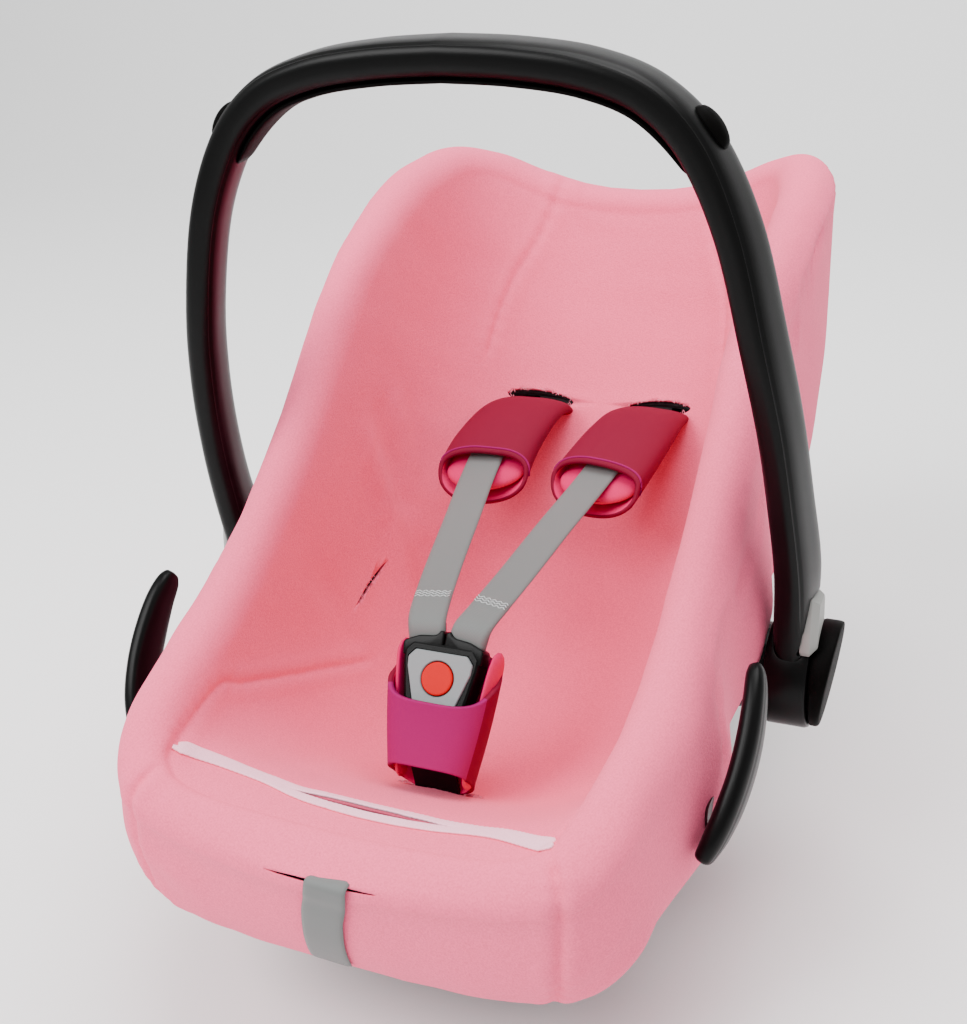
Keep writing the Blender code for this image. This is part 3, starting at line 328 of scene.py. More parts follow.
def bevel(obj, width, segments=3, angle=35.0):
    mod = obj.modifiers.new("Bevel", "BEVEL")
    mod.width = width
    mod.segments = segments
    mod.limit_method = "ANGLE"
    mod.angle_limit = radians(angle)
    bake(obj)


def loft_faces(rows, count, caps=True):
    faces = []
    for r in range(rows - 1):
        for i in range(count):
            j = (i + 1) % count
            faces.append((r * count + i, r * count + j, (r + 1) * count + j, (r + 1) * count + i))
    if caps:
        faces.append(tuple(range(count))[::-1])
        faces.append(tuple(range((rows - 1) * count, rows * count)))
    return faces


def loft(name, rings, mats, body="seat", caps=True, uvs=None):
    """Skin over closed rings of equal length."""
    verts = [p for ring in rings for p in ring]
    obj = add_piece(name, verts, loft_faces(len(rings), len(rings[0]), caps), mats, body, uvs=uvs)
    face_out(obj)
    return obj


def face_out(obj):
    """Make the faces point the same way, outwards where the mesh is closed."""
    bm = bmesh.new()
    bm.from_mesh(obj.data)
    bmesh.ops.recalc_face_normals(bm, faces=bm.faces)
    bm.to_mesh(obj.data)
    bm.free()


def face_up(obj):
    """Make an open bowl's faces point the same way, up on its floor."""
    face_out(obj)
    if sum(p.normal.z for p in obj.data.polygons if abs(p.center.x) < 0.02) < 0:
        obj.data.flip_normals()


def turn_out(obj):
    """Make an open tube's faces point away from its middle line."""
    mesh = obj.data
    middle = sum((v.co for v in mesh.vertices), Vector()) / len(mesh.vertices)
    score = sum((p.center - middle).dot(p.normal) for p in mesh.polygons)
    if score < 0:
        mesh.flip_normals()


def signed_power(value, power):
    """Power that keeps the sign, which rounds a circle towards a box."""
    return math.copysign(abs(value) ** power, value)


def flipped(point, flip):
    """The point itself, or its mirror image on the left side for a flip of -1."""
    return Vector((point.x * flip, point.y, point.z))


def tree_of(mesh):
    """Search tree of a mesh, in the tables' frame."""
    return BVHTree.FromPolygons([v.co - SHIFT for v in mesh.vertices],
                                [tuple(p.vertices) for p in mesh.polygons])


def rounded_outline(half_u, half_v, power, count):
    pts = []
    for i in range(count):
        ang = 2 * pi * (i + 0.5) / count
        pts.append((half_u * signed_power(cos(ang), 2 / power), half_v * signed_power(sin(ang), 2 / power)))
    return pts


def catmull(rows, t):
    """Smooth interpolation through a table of rows, t in 0..1."""
    span = t * (len(rows) - 1)
    i = max(0, min(int(span), len(rows) - 2))
    f = span - i
    p0 = rows[max(i - 1, 0)]
    p1 = rows[i]
    p2 = rows[i + 1]
    p3 = rows[min(i + 2, len(rows) - 1)]
    out = []
    for a, b, c, d in zip(p0, p1, p2, p3):
        out.append(0.5 * (2 * b + (c - a) * f + (2 * a - 5 * b + 4 * c - d) * f * f
                          + (3 * b - a - 3 * c + d) * f ** 3))
    return out


def tube(name, points, radius, mat, sides=8, closed=False):
    """Round bead along a line of points, on the seat."""
    rings = []
    last = len(points) - 1
    hint = Vector((0.0, 0.0, 1.0))
    for i, p in enumerate(points):
        nxt = points[(i + 1) % len(points)] if closed else points[min(i + 1, last)]
        prv = points[i - 1] if closed or i else points[0]
        ahead = (nxt - prv).normalized()
        side = ahead.cross(hint)
        if side.length < 0.05:
            side = ahead.cross(Vector((0.0, 1.0, 0.0)))
        side.normalize()
        up = side.cross(ahead).normalized()
        rings.append([p + side * radius * cos(2 * pi * k / sides) + up * radius * sin(2 * pi * k / sides)
                      for k in range(sides)])
    if closed:
        rings.append(rings[0])
    return loft(name, rings, [mat], caps=not closed)


# ---------------------------------------------------------------- body surfaces
FLOOR_POLE = (-0.030, 0.060)
CORNER_POWER = 4.2
TURN = 48.0                     # the surface's columns are counted 0..48 round the rim

# spine y, spine z, half width, rim y, rim z, squareness of the hollow, foot to head
STATIONS = [
    (-0.262, 0.183, 0.125, -0.262, 0.204, 2.2),
    (-0.222, 0.172, 0.128, -0.222, 0.213, 2.4),
    (-0.175, 0.143, 0.130, -0.170, 0.220, 2.9),
    (-0.115, 0.110, 0.131, -0.112, 0.238, 3.2),
    (-0.050, 0.100, 0.131, -0.055, 0.266, 3.2),
    (0.010, 0.110, 0.131, -0.005, 0.300, 3.2),
    (0.065, 0.142, 0.131, 0.038, 0.340, 3.1),
    (0.122, 0.190, 0.132, 0.085, 0.380, 3.0),
    (0.185, 0.244, 0.134, 0.135, 0.413, 2.9),
    (0.240, 0.306, 0.133, 0.190, 0.446, 2.6),
    (0.285, 0.374, 0.126, 0.247, 0.467, 2.2),
]


def hollow(a, b):
    """Point of the seat hollow; a runs foot to head, b across, both -1..1."""
    cy, cz, rx, ry, rz, power = catmull(STATIONS, (a + 1) / 2)
    ang = abs(b) * pi / 2
    rise = 1 - cos(ang) ** (2 / power) if ang < pi / 2 - 1e-9 else 1.0
    x = math.copysign(rx * sin(ang) ** (2 / power), b)
    return Vector((x, cy + (ry - cy) * rise, cz + (rz - cz) * rise))


def rim_param(col):
    ang = 2 * pi * col / TURN
    return -signed_power(cos(ang), 2 / CORNER_POWER), signed_power(sin(ang), 2 / CORNER_POWER)


def rim_frame(col):
    """Rim point, the direction out over the rim and the direction up the wall."""
    a, b = rim_param(col)
    point = hollow(a, b)
    along = (hollow(*rim_param(col + 1)) - hollow(*rim_param(col - 1))).normalized()
    wall = point - hollow(a * 0.94, b * 0.94)
    wall = (wall - along * wall.dot(along)).normalized()
    lift = Vector((0.0, 0.0, 1.0)) - along * along.z
    headness = max(0.0, a) ** 6
    footness = max(0.0, -a) ** 6
    up = (wall * (0.45 + 0.75 * footness) + lift.normalized() * (1.0 - 0.35 * headness)).normalized()
    out = up.cross(along).normalized()
    if out.dot(Vector((point.x, point.y - FLOOR_POLE[0], 0.0))) < 0:
        out = -out
    return point, out, up, a, b


def rim_width(a, b):
    wing = 0.007 * max(0.0, a) ** 2 * b * b
    return 0.034 + wing - 0.004 * max(0.0, -a) ** 8 + 0.006 * max(0.0, a) ** 8


def rim_height(a):
    return 0.021 - 0.014 * max(0.0, -a) ** 6 - 0.003 * max(0.0, a) ** 8


def wall_power(a, b):
    return 3.2 - 1.55 * max(0.0, a) ** 6 * (1 - b * b) + 0.7 * max(0.0, -a) ** 5


def hem_share(a):
    return 0.54 - 0.29 * max(0.0, a) ** 4 + 0.05 * max(0.0, -a) ** 3


def body_column(col, bowl, roll, wall):
    """All points of one column, from near the seat's middle over the rim to the hem."""
    point, out, up, a, b = rim_frame(col)
    pts = [hollow(a * k, b * k) for k in bowl]
    width = rim_width(a, b)
    high = rim_height(a)
    for k in roll:
        pts.append(point + out * (width / 2 * (1 - cos(pi * k))) + up * (high * sin(pi * k)))
    top = point + out * width
    power = wall_power(a, b)
    y0, z0 = FLOOR_POLE
    share = hem_share(a)
    for t in wall:
        ang = t * share * pi / 2
        near = cos(ang) ** (2 / power)
        down = sin(ang) ** (2 / power)
        pts.append(Vector((top.x * near, y0 + (top.y - y0) * near, top.z + (z0 - top.z) * down)))
    return pts


# ---------------------------------------------------------------- stretch cover
COVER_COLS = 624
BOWL_ROWS = 118
ROLL_ROWS = 28
WALL_ROWS = 60

COVER_THICK = 0.0024
FOAM_UNDER = 0.0062             # how far the foam's face lies under the cover's
FOAM_THICK = 0.0060
FOAM_STEP = 3                   # the foam keeps every third row and column
SEAM_DEPTH = {"rim": 0.0022, "back": 0.0013, "front": 0.0022, "thigh": 0.0012}
PUCKER_PITCH = 0.0105
GATHERS = 132                   # round the elastic hem

# sewn seams on the right half, mirrored to the left
SEAMS = {
    "rim": [(0.1590, 0.2560, 0.4290), (0.1679, 0.2176, 0.4102), (0.1698, 0.1479, 0.3979),
            (0.1679, 0.0992, 0.3664),
            (0.1661, 0.0609, 0.3231), (0.1651, 0.0169, 0.2840), (0.1647, -0.0312, 0.2602),
            (0.1650, -0.0933, 0.2392), (0.1646, -0.1213, 0.2172), (0.1640, -0.1500, 0.1800)],
    "back": [(0.0540, 0.3180, 0.4350), (0.0602, 0.2959, 0.3983), (0.0709, 0.2631, 0.3609),
             (0.0857, 0.2358, 0.3303),
             (0.0912, 0.2155, 0.3082), (0.0942, 0.1852, 0.2758)],
    "front": [(0.1181, -0.2529, 0.1971), (0.1220, -0.2633, 0.1985), (0.1275, -0.2716, 0.1881),
              (0.1253, -0.2733, 0.1555), (0.1214, -0.2708, 0.1204), (0.1150, -0.2600, 0.0900)],
    "thigh": [(0.0997, -0.0269, 0.1308), (0.1208, -0.0947, 0.1574), (0.1274, -0.1548, 0.1872),
              (0.1287, -0.1764, 0.1996), (0.1234, -0.2269, 0.1988), (0.1181, -0.2529, 0.1971)],
}

# soft folds: points along the crest, height, half width
FOLDS = [
    ([(-0.1306, 0.0399, 0.2865), (-0.1250, 0.0488, 0.2349), (-0.1124, 0.0460, 0.1877),
      (-0.0848, 0.0089, 0.1268)],
     0.0026, 0.010),
    ([(-0.1180, 0.0900, 0.2900), (-0.1080, 0.0820, 0.2400), (-0.0900, 0.0600, 0.1850)], 0.0016, 0.009),
    ([(-0.1290, -0.0200, 0.2300), (-0.1210, -0.0150, 0.1800), (-0.1010, -0.0250, 0.1350)], 0.0016, 0.010),
    ([(0.1306, 0.0399, 0.2865), (0.1250, 0.0488, 0.2349), (0.1124, 0.0460, 0.1877)], 0.0018, 0.010),
    ([(-0.1560, -0.2100, 0.1500), (-0.1450, -0.2400, 0.1250), (-0.1250, -0.2600, 0.1050)], 0.0030, 0.008),
    ([(-0.1600, -0.1800, 0.1350), (-0.1480, -0.2200, 0.1050), (-0.1300, -0.2450, 0.0850)], 0.0026, 0.009),
    ([(-0.1350, -0.2620, 0.1700), (-0.1100, -0.2760, 0.1500), (-0.0800, -0.2800, 0.1350)], 0.0016, 0.010),
    ([(0.1500, -0.2200, 0.1450), (0.1380, -0.2480, 0.1150), (0.1150, -0.2620, 0.0950)], 0.0022, 0.009),
    ([(-0.0500, 0.3000, 0.4050), (-0.0450, 0.2780, 0.3700)], 0.0014, 0.005),
    ([(-0.0380, 0.3040, 0.4100), (-0.0300, 0.2750, 0.3620)], 0.0012, 0.005),
    ([(-0.0220, 0.3060, 0.4120), (-0.0180, 0.2850, 0.3800)], 0.0012, 0.004),
    ([(0.0180, 0.3050, 0.4100), (0.0220, 0.2850, 0.3800)], 0.0010, 0.005),
    ([(-0.0640, 0.1660, 0.2360), (-0.0520, 0.1200, 0.2000), (-0.0420, 0.0800, 0.1600)], 0.0012, 0.010),
    ([(0.0700, 0.1660, 0.2360), (0.0600, 0.1200, 0.2000), (0.0480, 0.0800, 0.1600)], 0.0010, 0.010),
]

# places where the cloth stands off the bucket: centre, radius, how far it moves; mirrored to the other side
PUSHES = [
    ((0.1700, -0.1420, 0.1700), 0.052, (0.0175, 0.0, 0.0)),
    ((0.1650, -0.0180, 0.2120), 0.048, (0.0145, 0.0, 0.0)),
    ((0.1680, -0.1650, 0.1400), 0.038, (0.0090, 0.0, 0.0)),
    ((0.1700, -0.0300, 0.1650), 0.045, (0.0075, 0.0, 0.0)),
    ((0.0100, -0.2830, 0.1700), 0.060, (0.0, -0.0048, 0.0016)),
    ((0.1500, -0.2400, 0.1350), 0.055, (0.0080, -0.0030, 0.0)),
    ((0.0850, 0.3000, 0.4500), 0.040, (0.0, 0.0, 0.0060)),
]

# openings: the two ends, half width, lip
# the shoulder slots, crotch slot, foot slot, strap slot and side slits
SLITS = [
    ((0.0215, 0.1875, 0.2515), (0.0745, 0.1875, 0.2515), 0.0070, 0.0014),
    ((-0.0745, 0.1875, 0.2515), (-0.0215, 0.1875, 0.2515), 0.0070, 0.0014),
    ((-0.0300, -0.1440, 0.1240), (0.0300, -0.1440, 0.1240), 0.0052, 0.0010),
    ((-0.0490, -0.2322, 0.1780), (0.0505, -0.2330, 0.1785), 0.0046, 0.0006),
    ((-0.0345, -0.2860, 0.1705), (0.0337, -0.2860, 0.1705), 0.0010, 0.0015),
    ((-0.1150, 0.0236, 0.1780), (-0.1187, -0.0223, 0.1662), 0.0016, 0.0006),
    ((0.1150, 0.0236, 0.1780), (0.1187, -0.0223, 0.1662), 0.0016, 0.0006),
]


FOOT_SLOT = 3
STRAP_SLOT = 4
FRAYED_SLOTS = {0: 70, 1: 70, 2: 90, 5: 22, 6: 22}      # loose threads at each opening


def dense(points, step=0.0025):
    """Evenly spaced points of a smooth line through a few points, as an array."""
    rows = [tuple(p) for p in points]
    raw = np.array([catmull(rows, i / 200) for i in range(201)])
    run = np.concatenate([[0.0], np.cumsum(np.linalg.norm(np.diff(raw, axis=0), axis=1))])
    want = np.linspace(0.0, run[-1], max(3, int(run[-1] / step)))
    return np.stack([np.interp(want, run, raw[:, k]) for k in range(3)], axis=1)


def onto(points, surface):
    """Move a dense line onto the surface points, then smooth out the jumps."""
    moved = np.array([surface[np.argmin(((surface - p) ** 2).sum(1))] for p in points])
    for _ in range(6):
        moved[1:-1] = (moved[:-2] + 2 * moved[1:-1] + moved[2:]) / 4
    return moved


def near_line(surface, line, reach):
    """Which surface points lie near a line, how far away, and how far along it."""
    low = line.min(0) - reach
    high = line.max(0) + reach
    picked = np.where(((surface > low) & (surface < high)).all(1))[0]
    if not len(picked):
        return picked, np.zeros(0), np.zeros(0)
    gap = np.full(len(picked), 9.0)
    along = np.zeros(len(picked))
    run = np.concatenate([[0.0], np.cumsum(np.linalg.norm(np.diff(line, axis=0), axis=1))])
    pts = surface[picked]
    for i in range(len(line) - 1):
        a = line[i]
        d = line[i + 1] - a
        t = np.clip((pts - a) @ d / max(d @ d, 1e-12), 0, 1)
        dist = np.linalg.norm(pts - (a + t[:, None] * d), axis=1)
        better = dist < gap
        gap[better] = dist[better]
        along[better] = run[i] + t[better] * (run[i + 1] - run[i])
    return picked, gap, along


def cover_grid():
    """Rows by columns of surface points, from near the seat's middle to the hem."""
    bowl, roll, wall = ([(i + 1) / rows for i in range(rows)] for rows in (BOWL_ROWS, ROLL_ROWS, WALL_ROWS))
    cols = [body_column(TURN * c / COVER_COLS, bowl, roll, wall) for c in range(COVER_COLS)]
    return np.array(cols).transpose(1, 0, 2)


def grid_normals(grid):
    across = np.roll(grid, -1, axis=1) - np.roll(grid, 1, axis=1)
    down = np.gradient(grid, axis=0)
    normal = np.cross(across, down)
    normal /= np.maximum(np.linalg.norm(normal, axis=2, keepdims=True), 1e-9)
    if normal[:BOWL_ROWS // 3, :, 2].mean() < 0:
        normal = -normal
    return normal


def undulation(points):
    """Long faint swells and drawn folds of a stretched cloth."""
    out = np.zeros(len(points))
    for i, (x, y, z) in enumerate(points):
        swell = noise.noise(Vector((x * 14, y * 14, z * 14 + 3.0)))
        drawn = noise.noise(Vector((x * 46 + 7, y * 11, z * 11)))
        side = noise.noise(Vector((x * 10, (y + z) * 34 + 5, (y - z) * 9)))
        out[i] = 0.0013 * swell + 0.0006 * drawn + 0.0005 * side
    return out


def faded_line(flat, points, reach, ramp):
    """Surface points near a line: which, how far off, how far along, and a fade towards its ends."""
    picked, gap, along = near_line(flat, onto(dense(points), flat), reach)
    ends = np.minimum(along, along.max() - along) if len(along) else along
    return picked, gap, along, np.clip(ends / ramp, 0, 1)


def sewn_relief(flat):
    """Height of the cloth over the smooth surface: swells, puckered seams and folds."""
    rise = undulation(flat)
    for key, points in SEAMS.items():
        depth = SEAM_DEPTH[key]
        for side in (1, -1):
            line = [(side * x, y, z) for x, y, z in points]
            picked, gap, along, fade = faded_line(flat, line, 0.026, 0.015)
            groove = -depth * np.exp(-(gap / 0.0024) ** 2)
            groove = groove + 0.45 * depth * np.exp(-((gap - 0.0075) / 0.0048) ** 2)
            beat = np.sin(along / PUCKER_PITCH * 2 * pi + 2.2 * np.sin(along * 61.0))
            pucker = 0.00034 * beat * np.exp(-(gap / 0.0090) ** 2)
            rise[picked] += (groove + pucker) * fade
    for points, height, half in FOLDS:
        picked, gap, _, fade = faded_line(flat, points, 4 * half, 2.5 * half)
        ridge = np.exp(-(gap / half) ** 2) - 0.45 * np.exp(-((gap - 1.9 * half) / half) ** 2)
        rise[picked] += height * ridge * fade ** 0.7
    return rise


def gathers(rows, cols):
    """Small gathers over the last stretch above the elastic hem."""
    row_of = np.repeat(np.arange(rows), cols)
    turn = np.tile(np.arange(cols), rows) / cols * 2 * pi
    low = np.clip((row_of - (rows - 1 - 0.30 * WALL_ROWS)) / (0.30 * WALL_ROWS), 0, 1)
    return 0.0011 * np.sin(turn * GATHERS + 2.5 * np.sin(turn * 17)) * low ** 1.5


def push_out(flat, rows, cols):
    """Move the roll and the outer wall off the bucket at the places in PUSHES."""
    row_of = np.repeat(np.arange(rows), cols)
    outside = np.clip((row_of - BOWL_ROWS) / (0.6 * ROLL_ROWS), 0, 1) ** 1.5
    for centre, radius, move in PUSHES:
        for side in (1, -1):
            mirror = np.array([side, 1, 1])
            gap = np.linalg.norm(flat - mirror * centre, axis=1)
            share = np.exp(-(gap / radius) ** 2) * outside
            flat += share[:, None] * (mirror * move)


def half_gap(half, share):
    """Half the width of a lens-shaped opening, at a share -1..1 of its half length."""
    return half * max(0.0, 1 - share ** 2) ** 0.6


def open_slits(flat, normal):
    """Raise the lips of the openings and return each one's middle, directions and size."""
    lips = []
    for start, end, half, lip in SLITS:
        a = np.array(start)
        b = np.array(end)
        length = np.linalg.norm(b - a)
        t = (b - a) / length
        nearest = np.argmin(((flat - (a + b) / 2) ** 2).sum(1))
        mid = flat[nearest]
        up = normal[nearest] - t * (normal[nearest] @ t)
        up /= np.linalg.norm(up)
        side = np.cross(up, t)
        rel = flat - mid
        s = rel @ t
        inside = (np.abs(s) < length / 2) & (np.abs(rel @ side) < 0.02) & (np.abs(rel @ up) < 0.02)
        open_by = half * (1 - (2 * s[inside] / length) ** 2) ** 0.6
        edge = np.exp(-((np.abs((rel @ side)[inside]) - open_by) / 0.0040) ** 2)
        flat[inside] += up * (lip * edge * open_by / half)[:, None]
        lips.append((mid, t, side, up, length, half))
    return lips


def slit_cutter(lips):
    """One mesh of lens-shaped prisms with slightly ragged edges, for all the cut openings."""
    verts = []
    faces = []
    steps = 40
    reach = 0.012
    for mid, t, side, up, length, half in lips:
        outline = []
        for way in (1, -1):
            for i in range(steps):
                f = (i / steps * 2 - 1) * way
                ragged = 0.00022 * noise.noise(Vector((f * 40, way * 3.0, length * 90)))
                wide = max(0.0001, half_gap(half, f) + ragged)
                outline.append(mid + t * (f * length / 2) + side * way * wide)
        base = len(verts)
        count = len(outline)
        verts += [p - up * reach for p in outline] + [p + up * reach for p in outline]
        faces.append(tuple(range(base, base + count)))
        faces.append(tuple(range(base + count, base + 2 * count))[::-1])
        for i in range(count):
            j = (i + 1) % count
            faces.append((base + i, base + count + i, base + count + j, base + j))
    cutter = add_piece("slit_cutter", verts, faces, [TERRY])
    face_out(cutter)
    return cutter


def make_foam(grid, normal, lips):
    """Foam face under the cover, seen through the cut openings."""
    rows = range(4, BOWL_ROWS + ROLL_ROWS // 2, FOAM_STEP)
    under = (grid.reshape(-1, 3) - normal * FOAM_UNDER).reshape(grid.shape)[list(rows)][:, ::FOAM_STEP]
    count = under.shape[1]
    faces = loft_faces(len(rows), count, False) + [tuple(range(count))]
    foam = add_piece("Foam_Face", under.reshape(-1, 3).tolist(), faces, [FOAM])
    face_up(foam)
    solidify(foam, FOAM_THICK, even=False)
    boolean(foam, slit_cutter(lips))
    smooth_by_angle(foam, 40)
    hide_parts("Foam_Liner")


def make_cover():
    """Stretch cover with its hem and the foam under it; also its outer face and its openings."""
    grid = cover_grid()
    rows, cols, _ = grid.shape
    normal = grid_normals(grid).reshape(-1, 3)
    flat = grid.reshape(-1, 3).copy()
    rise = sewn_relief(flat) + gathers(rows, cols)
    flat += normal * rise[:, None]
    push_out(flat, rows, cols)
    lips = open_slits(flat, normal)
    pole = len(flat)
    verts = flat.tolist() + [tuple(hollow(0.0, 0.0))]
    faces = loft_faces(rows, cols, False) + [(pole, (i + 1) % cols, i) for i in range(cols)]
    cover = add_piece("Terry_Cover", verts, faces, [TERRY])
    face_up(cover)
    skin = tree_of(cover.data)
    solidify(cover, COVER_THICK, even=False)
    boolean(cover, slit_cutter(lips))
    cover.data.shade_smooth()
    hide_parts("Seat_Cover")
    make_foam(grid, normal, lips)
    hem = [Vector(p) for p in flat.reshape(rows, cols, 3)[-1, ::2].tolist()]
    bead = tube("Cover_Hem", hem, 0.0026, TERRY, closed=True)
    return cover, bead, skin, lips


COVER, HEM, SKIN, LIPS = make_cover()


def on_skin(point):
    """Nearest place on the cover's outer face, and its normal."""
    place, face_normal, _, _ = SKIN.find_nearest(Vector(point))
    return place, face_normal


# ---------------------------------------------------------------- binding and frayed edges
BIND_WIDTH = 0.0070
BIND_OFF = 0.0022               # how far the binding's middle lies from the opening's edge
BIND_LEFT = [(-0.1216, -0.2362, 0.1978), (-0.1071, -0.2304, 0.1882), (-0.0894, -0.2275, 0.1820),
             (-0.0692, -0.2281, 0.1785), (-0.0481, -0.2301, 0.1777)]
BIND_RIGHT = [(0.0505, -0.2316, 0.1782), (0.0660, -0.2335, 0.1800), (0.0821, -0.2355, 0.1826),
              (0.1010, -0.2430, 0.1900), (0.1205, -0.2523, 0.1995)]


def binding_strip(name, line):
    """Folded tape stitched on the cover: crowned section with rolled edges."""
    seats = [on_skin(p) for p in dense(line, 0.0016).tolist()]
    rings = []
    uvs = []
    run = 0.0
    last = len(seats) - 1
    for i, (place, up) in enumerate(seats):
        ahead = (seats[min(i + 1, last)][0] - seats[max(i - 1, 0)][0]).normalized()
        up = (up - ahead * up.dot(ahead)).normalized()
        side = ahead.cross(up)
        ease = min(1.0, 0.35 + 0.65 * (min(i, last - i) / 3.0))
        ring = []
        for k in range(16):
            ang = 2 * pi * k / 16
            u = signed_power(cos(ang), 0.7) * BIND_WIDTH / 2 * ease
            v = sin(ang) * 0.0011
            v += 0.00025 * cos(ang * 2)
            v += 0.00018 * sin(run / 0.0032 * 2 * pi) * abs(cos(ang))
            ring.append(place + side * u + up * (v + 0.0007))
            uvs.append((u, run))
        rings.append(ring)
        if i < last:
            run += (seats[i + 1][0] - place).length
    return loft(name, rings, [BINDING], uvs=uvs)


def make_binding():
    """Pale tape along both edges of the foot slot, meeting past its ends."""
    mid, t, side, _, length, half = LIPS[FOOT_SLOT]
    first, second = (BIND_LEFT, BIND_RIGHT) if t[0] > 0 else (BIND_RIGHT, BIND_LEFT)
    pieces = []
    for tag, way in (("Upper", 1.0), ("Lower", -1.0)):
        arc = []
        for i in range(25):
            s = (i / 24 - 0.5) * length
            arc.append(tuple(mid + t * s + side * way * (half_gap(half, 2 * s / length) + BIND_OFF)))
        lead = [tuple(np.array(p) + side * way * BIND_OFF) for p in first[:-1]]
        rest = [tuple(np.array(p) + side * way * BIND_OFF) for p in second[1:]]
        pieces.append(binding_strip("Binding_" + tag, lead + arc[1:-1:3] + rest))
    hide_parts("Cover_Binding")
    return pieces


BINDINGS = make_binding()


def make_fray():
    """Short loose threads along the raw edges of the cut slots."""
    lines = []
    for which, count in FRAYED_SLOTS.items():
        mid, t, side, _, length, half = LIPS[which]
        mid, t, side = Vector(mid), Vector(t), Vector(side)
        for _ in range(count):
            s = (random.random() - 0.5) * length * 0.97
            way = random.choice((-1.0, 1.0))
            base, face_normal = on_skin(mid + t * s + side * way * (half_gap(half, 2 * s / length) + 0.0010))
            reach = random.uniform(0.0010, 0.0030)
            slant = random.uniform(-0.8, 0.8)
            lines.append([base + face_normal * (0.0008 * f) - side * way * reach * f + t * slant * reach * f * f
                          for f in (0.0, 0.5, 1.0)])
    return add_threads("Slot_Fray", lines, 0.00022, FRAY)


FRAYED = make_fray()


# ---------------------------------------------------------------- harness
WEB_W = 0.0250
WEB_T = 0.0018
STITCHES = 11                   # in a row across the strap
STITCH_ROWS = (0.0310, 0.0335, 0.0360)
BUCKLE = Vector((0.0, -0.132, 0.200))
BUCKLE_LEAN = radians(36)
BUCKLE_UP = Vector((0.0, sin(BUCKLE_LEAN), cos(BUCKLE_LEAN)))
BUCKLE_FACE = Vector((0.0, -cos(BUCKLE_LEAN), sin(BUCKLE_LEAN)))


def on_buckle(x, u, n):
    """Point from buckle coordinates: across, up its face, out of its face."""
    return BUCKLE + Vector((x, 0.0, 0.0)) + BUCKLE_UP * u + BUCKLE_FACE * n


SHOULDER_PATH = [
    tuple(on_buckle(0.0134, 0.0235, -0.0056)), tuple(on_buckle(0.0157, 0.0350, -0.0052)),
    (0.0195, -0.0900, 0.2300), (0.0255, -0.0560, 0.2365), (0.0325, -0.0100, 0.2450),
    (0.0400, 0.0360, 0.2530), (0.0450, 0.0780, 0.2590), (0.0470, 0.1180, 0.2610), (0.0472, 0.1500, 0.2585),
    (0.0472, 0.1740, 0.2510), (0.0470, 0.1920, 0.2360), (0.0470, 0.2060, 0.2180),
]
SHELL_TREE = tree_of(NODES["Shell"].data)


def shell_back(x, z):
    """Place and normal on the back of the shell."""
    return SHELL_TREE.ray_cast(Vector((x, 0.6, z)), Vector((0, -1, 0)))[:2]


def path_normals(path):
    found = []
    last = len(path) - 1
    for i in range(len(path)):
        ahead = path[min(i + 1, last)] - path[max(i - 1, 0)]
        found.append(ACROSS.cross(ahead).normalized())
    return found


def even(points, step):
    return [Vector(p) for p in dense(points, step).tolist()]


def ribbon(name, path, normals, thick_at, flip=1):
    """Woven strap: flat section with rounded selvedges and a faint hollow beside each edge."""
    rings = []
    uvs = []
    run = 0.0
    last = len(path) - 1
    across = 12
    for i, (point, normal) in enumerate(zip(path, normals)):
        ahead = (path[min(i + 1, last)] - path[max(i - 1, 0)]).normalized()
        side = ahead.cross(normal).normalized()
        up = side.cross(ahead).normalized()
        thick = thick_at(run)
        ring = []
        for face in (1, -1):
            for k in range(across + 1):
                f = (k / across * 2 - 1) * face
                edge = max(0.0, (abs(f) - 0.90) / 0.10)
                v = thick / 2 * math.sqrt(max(0.0, 1 - edge ** 2 * 0.96))
                v -= 0.00014 * math.exp(-((abs(f) - 0.80) / 0.05) ** 2)
                ring.append(flipped(point + side * f * WEB_W / 2 + up * (v * face), flip))
                uvs.append((f * WEB_W / 2, run))
        rings.append(ring)
        if i < last:
            run += (path[i + 1] - point).length
    return loft(name, rings, [WEB], uvs=uvs)


def strap_thickness(run):
    """Thicker where the strap is folded back on itself, and in the loop round the tongue's bar."""
    doubled = 0.0016 / (1 + math.exp((run - 0.036) / 0.0007))
    loop = 0.0030 * math.exp(-((run - 0.0055) / 0.0065) ** 2)
    return WEB_T + doubled + loop


def stitch_row(point, ahead, normal, run):
    """Zigzag stitches across the strap at one place along it."""
    side = ahead.cross(normal).normalized()
    up = normal * (strap_thickness(run) / 2 + 0.00012)
    row = []
    for k in range(STITCHES):
        zig = 0.0007 if k % 2 else -0.0007
        mid = point + side * ((k + 0.5) / STITCHES - 0.5) * WEB_W * 0.92 + up
        row.append((mid - side * 0.0009 - ahead * zig, mid + side * 0.0009 + ahead * zig))
    return row


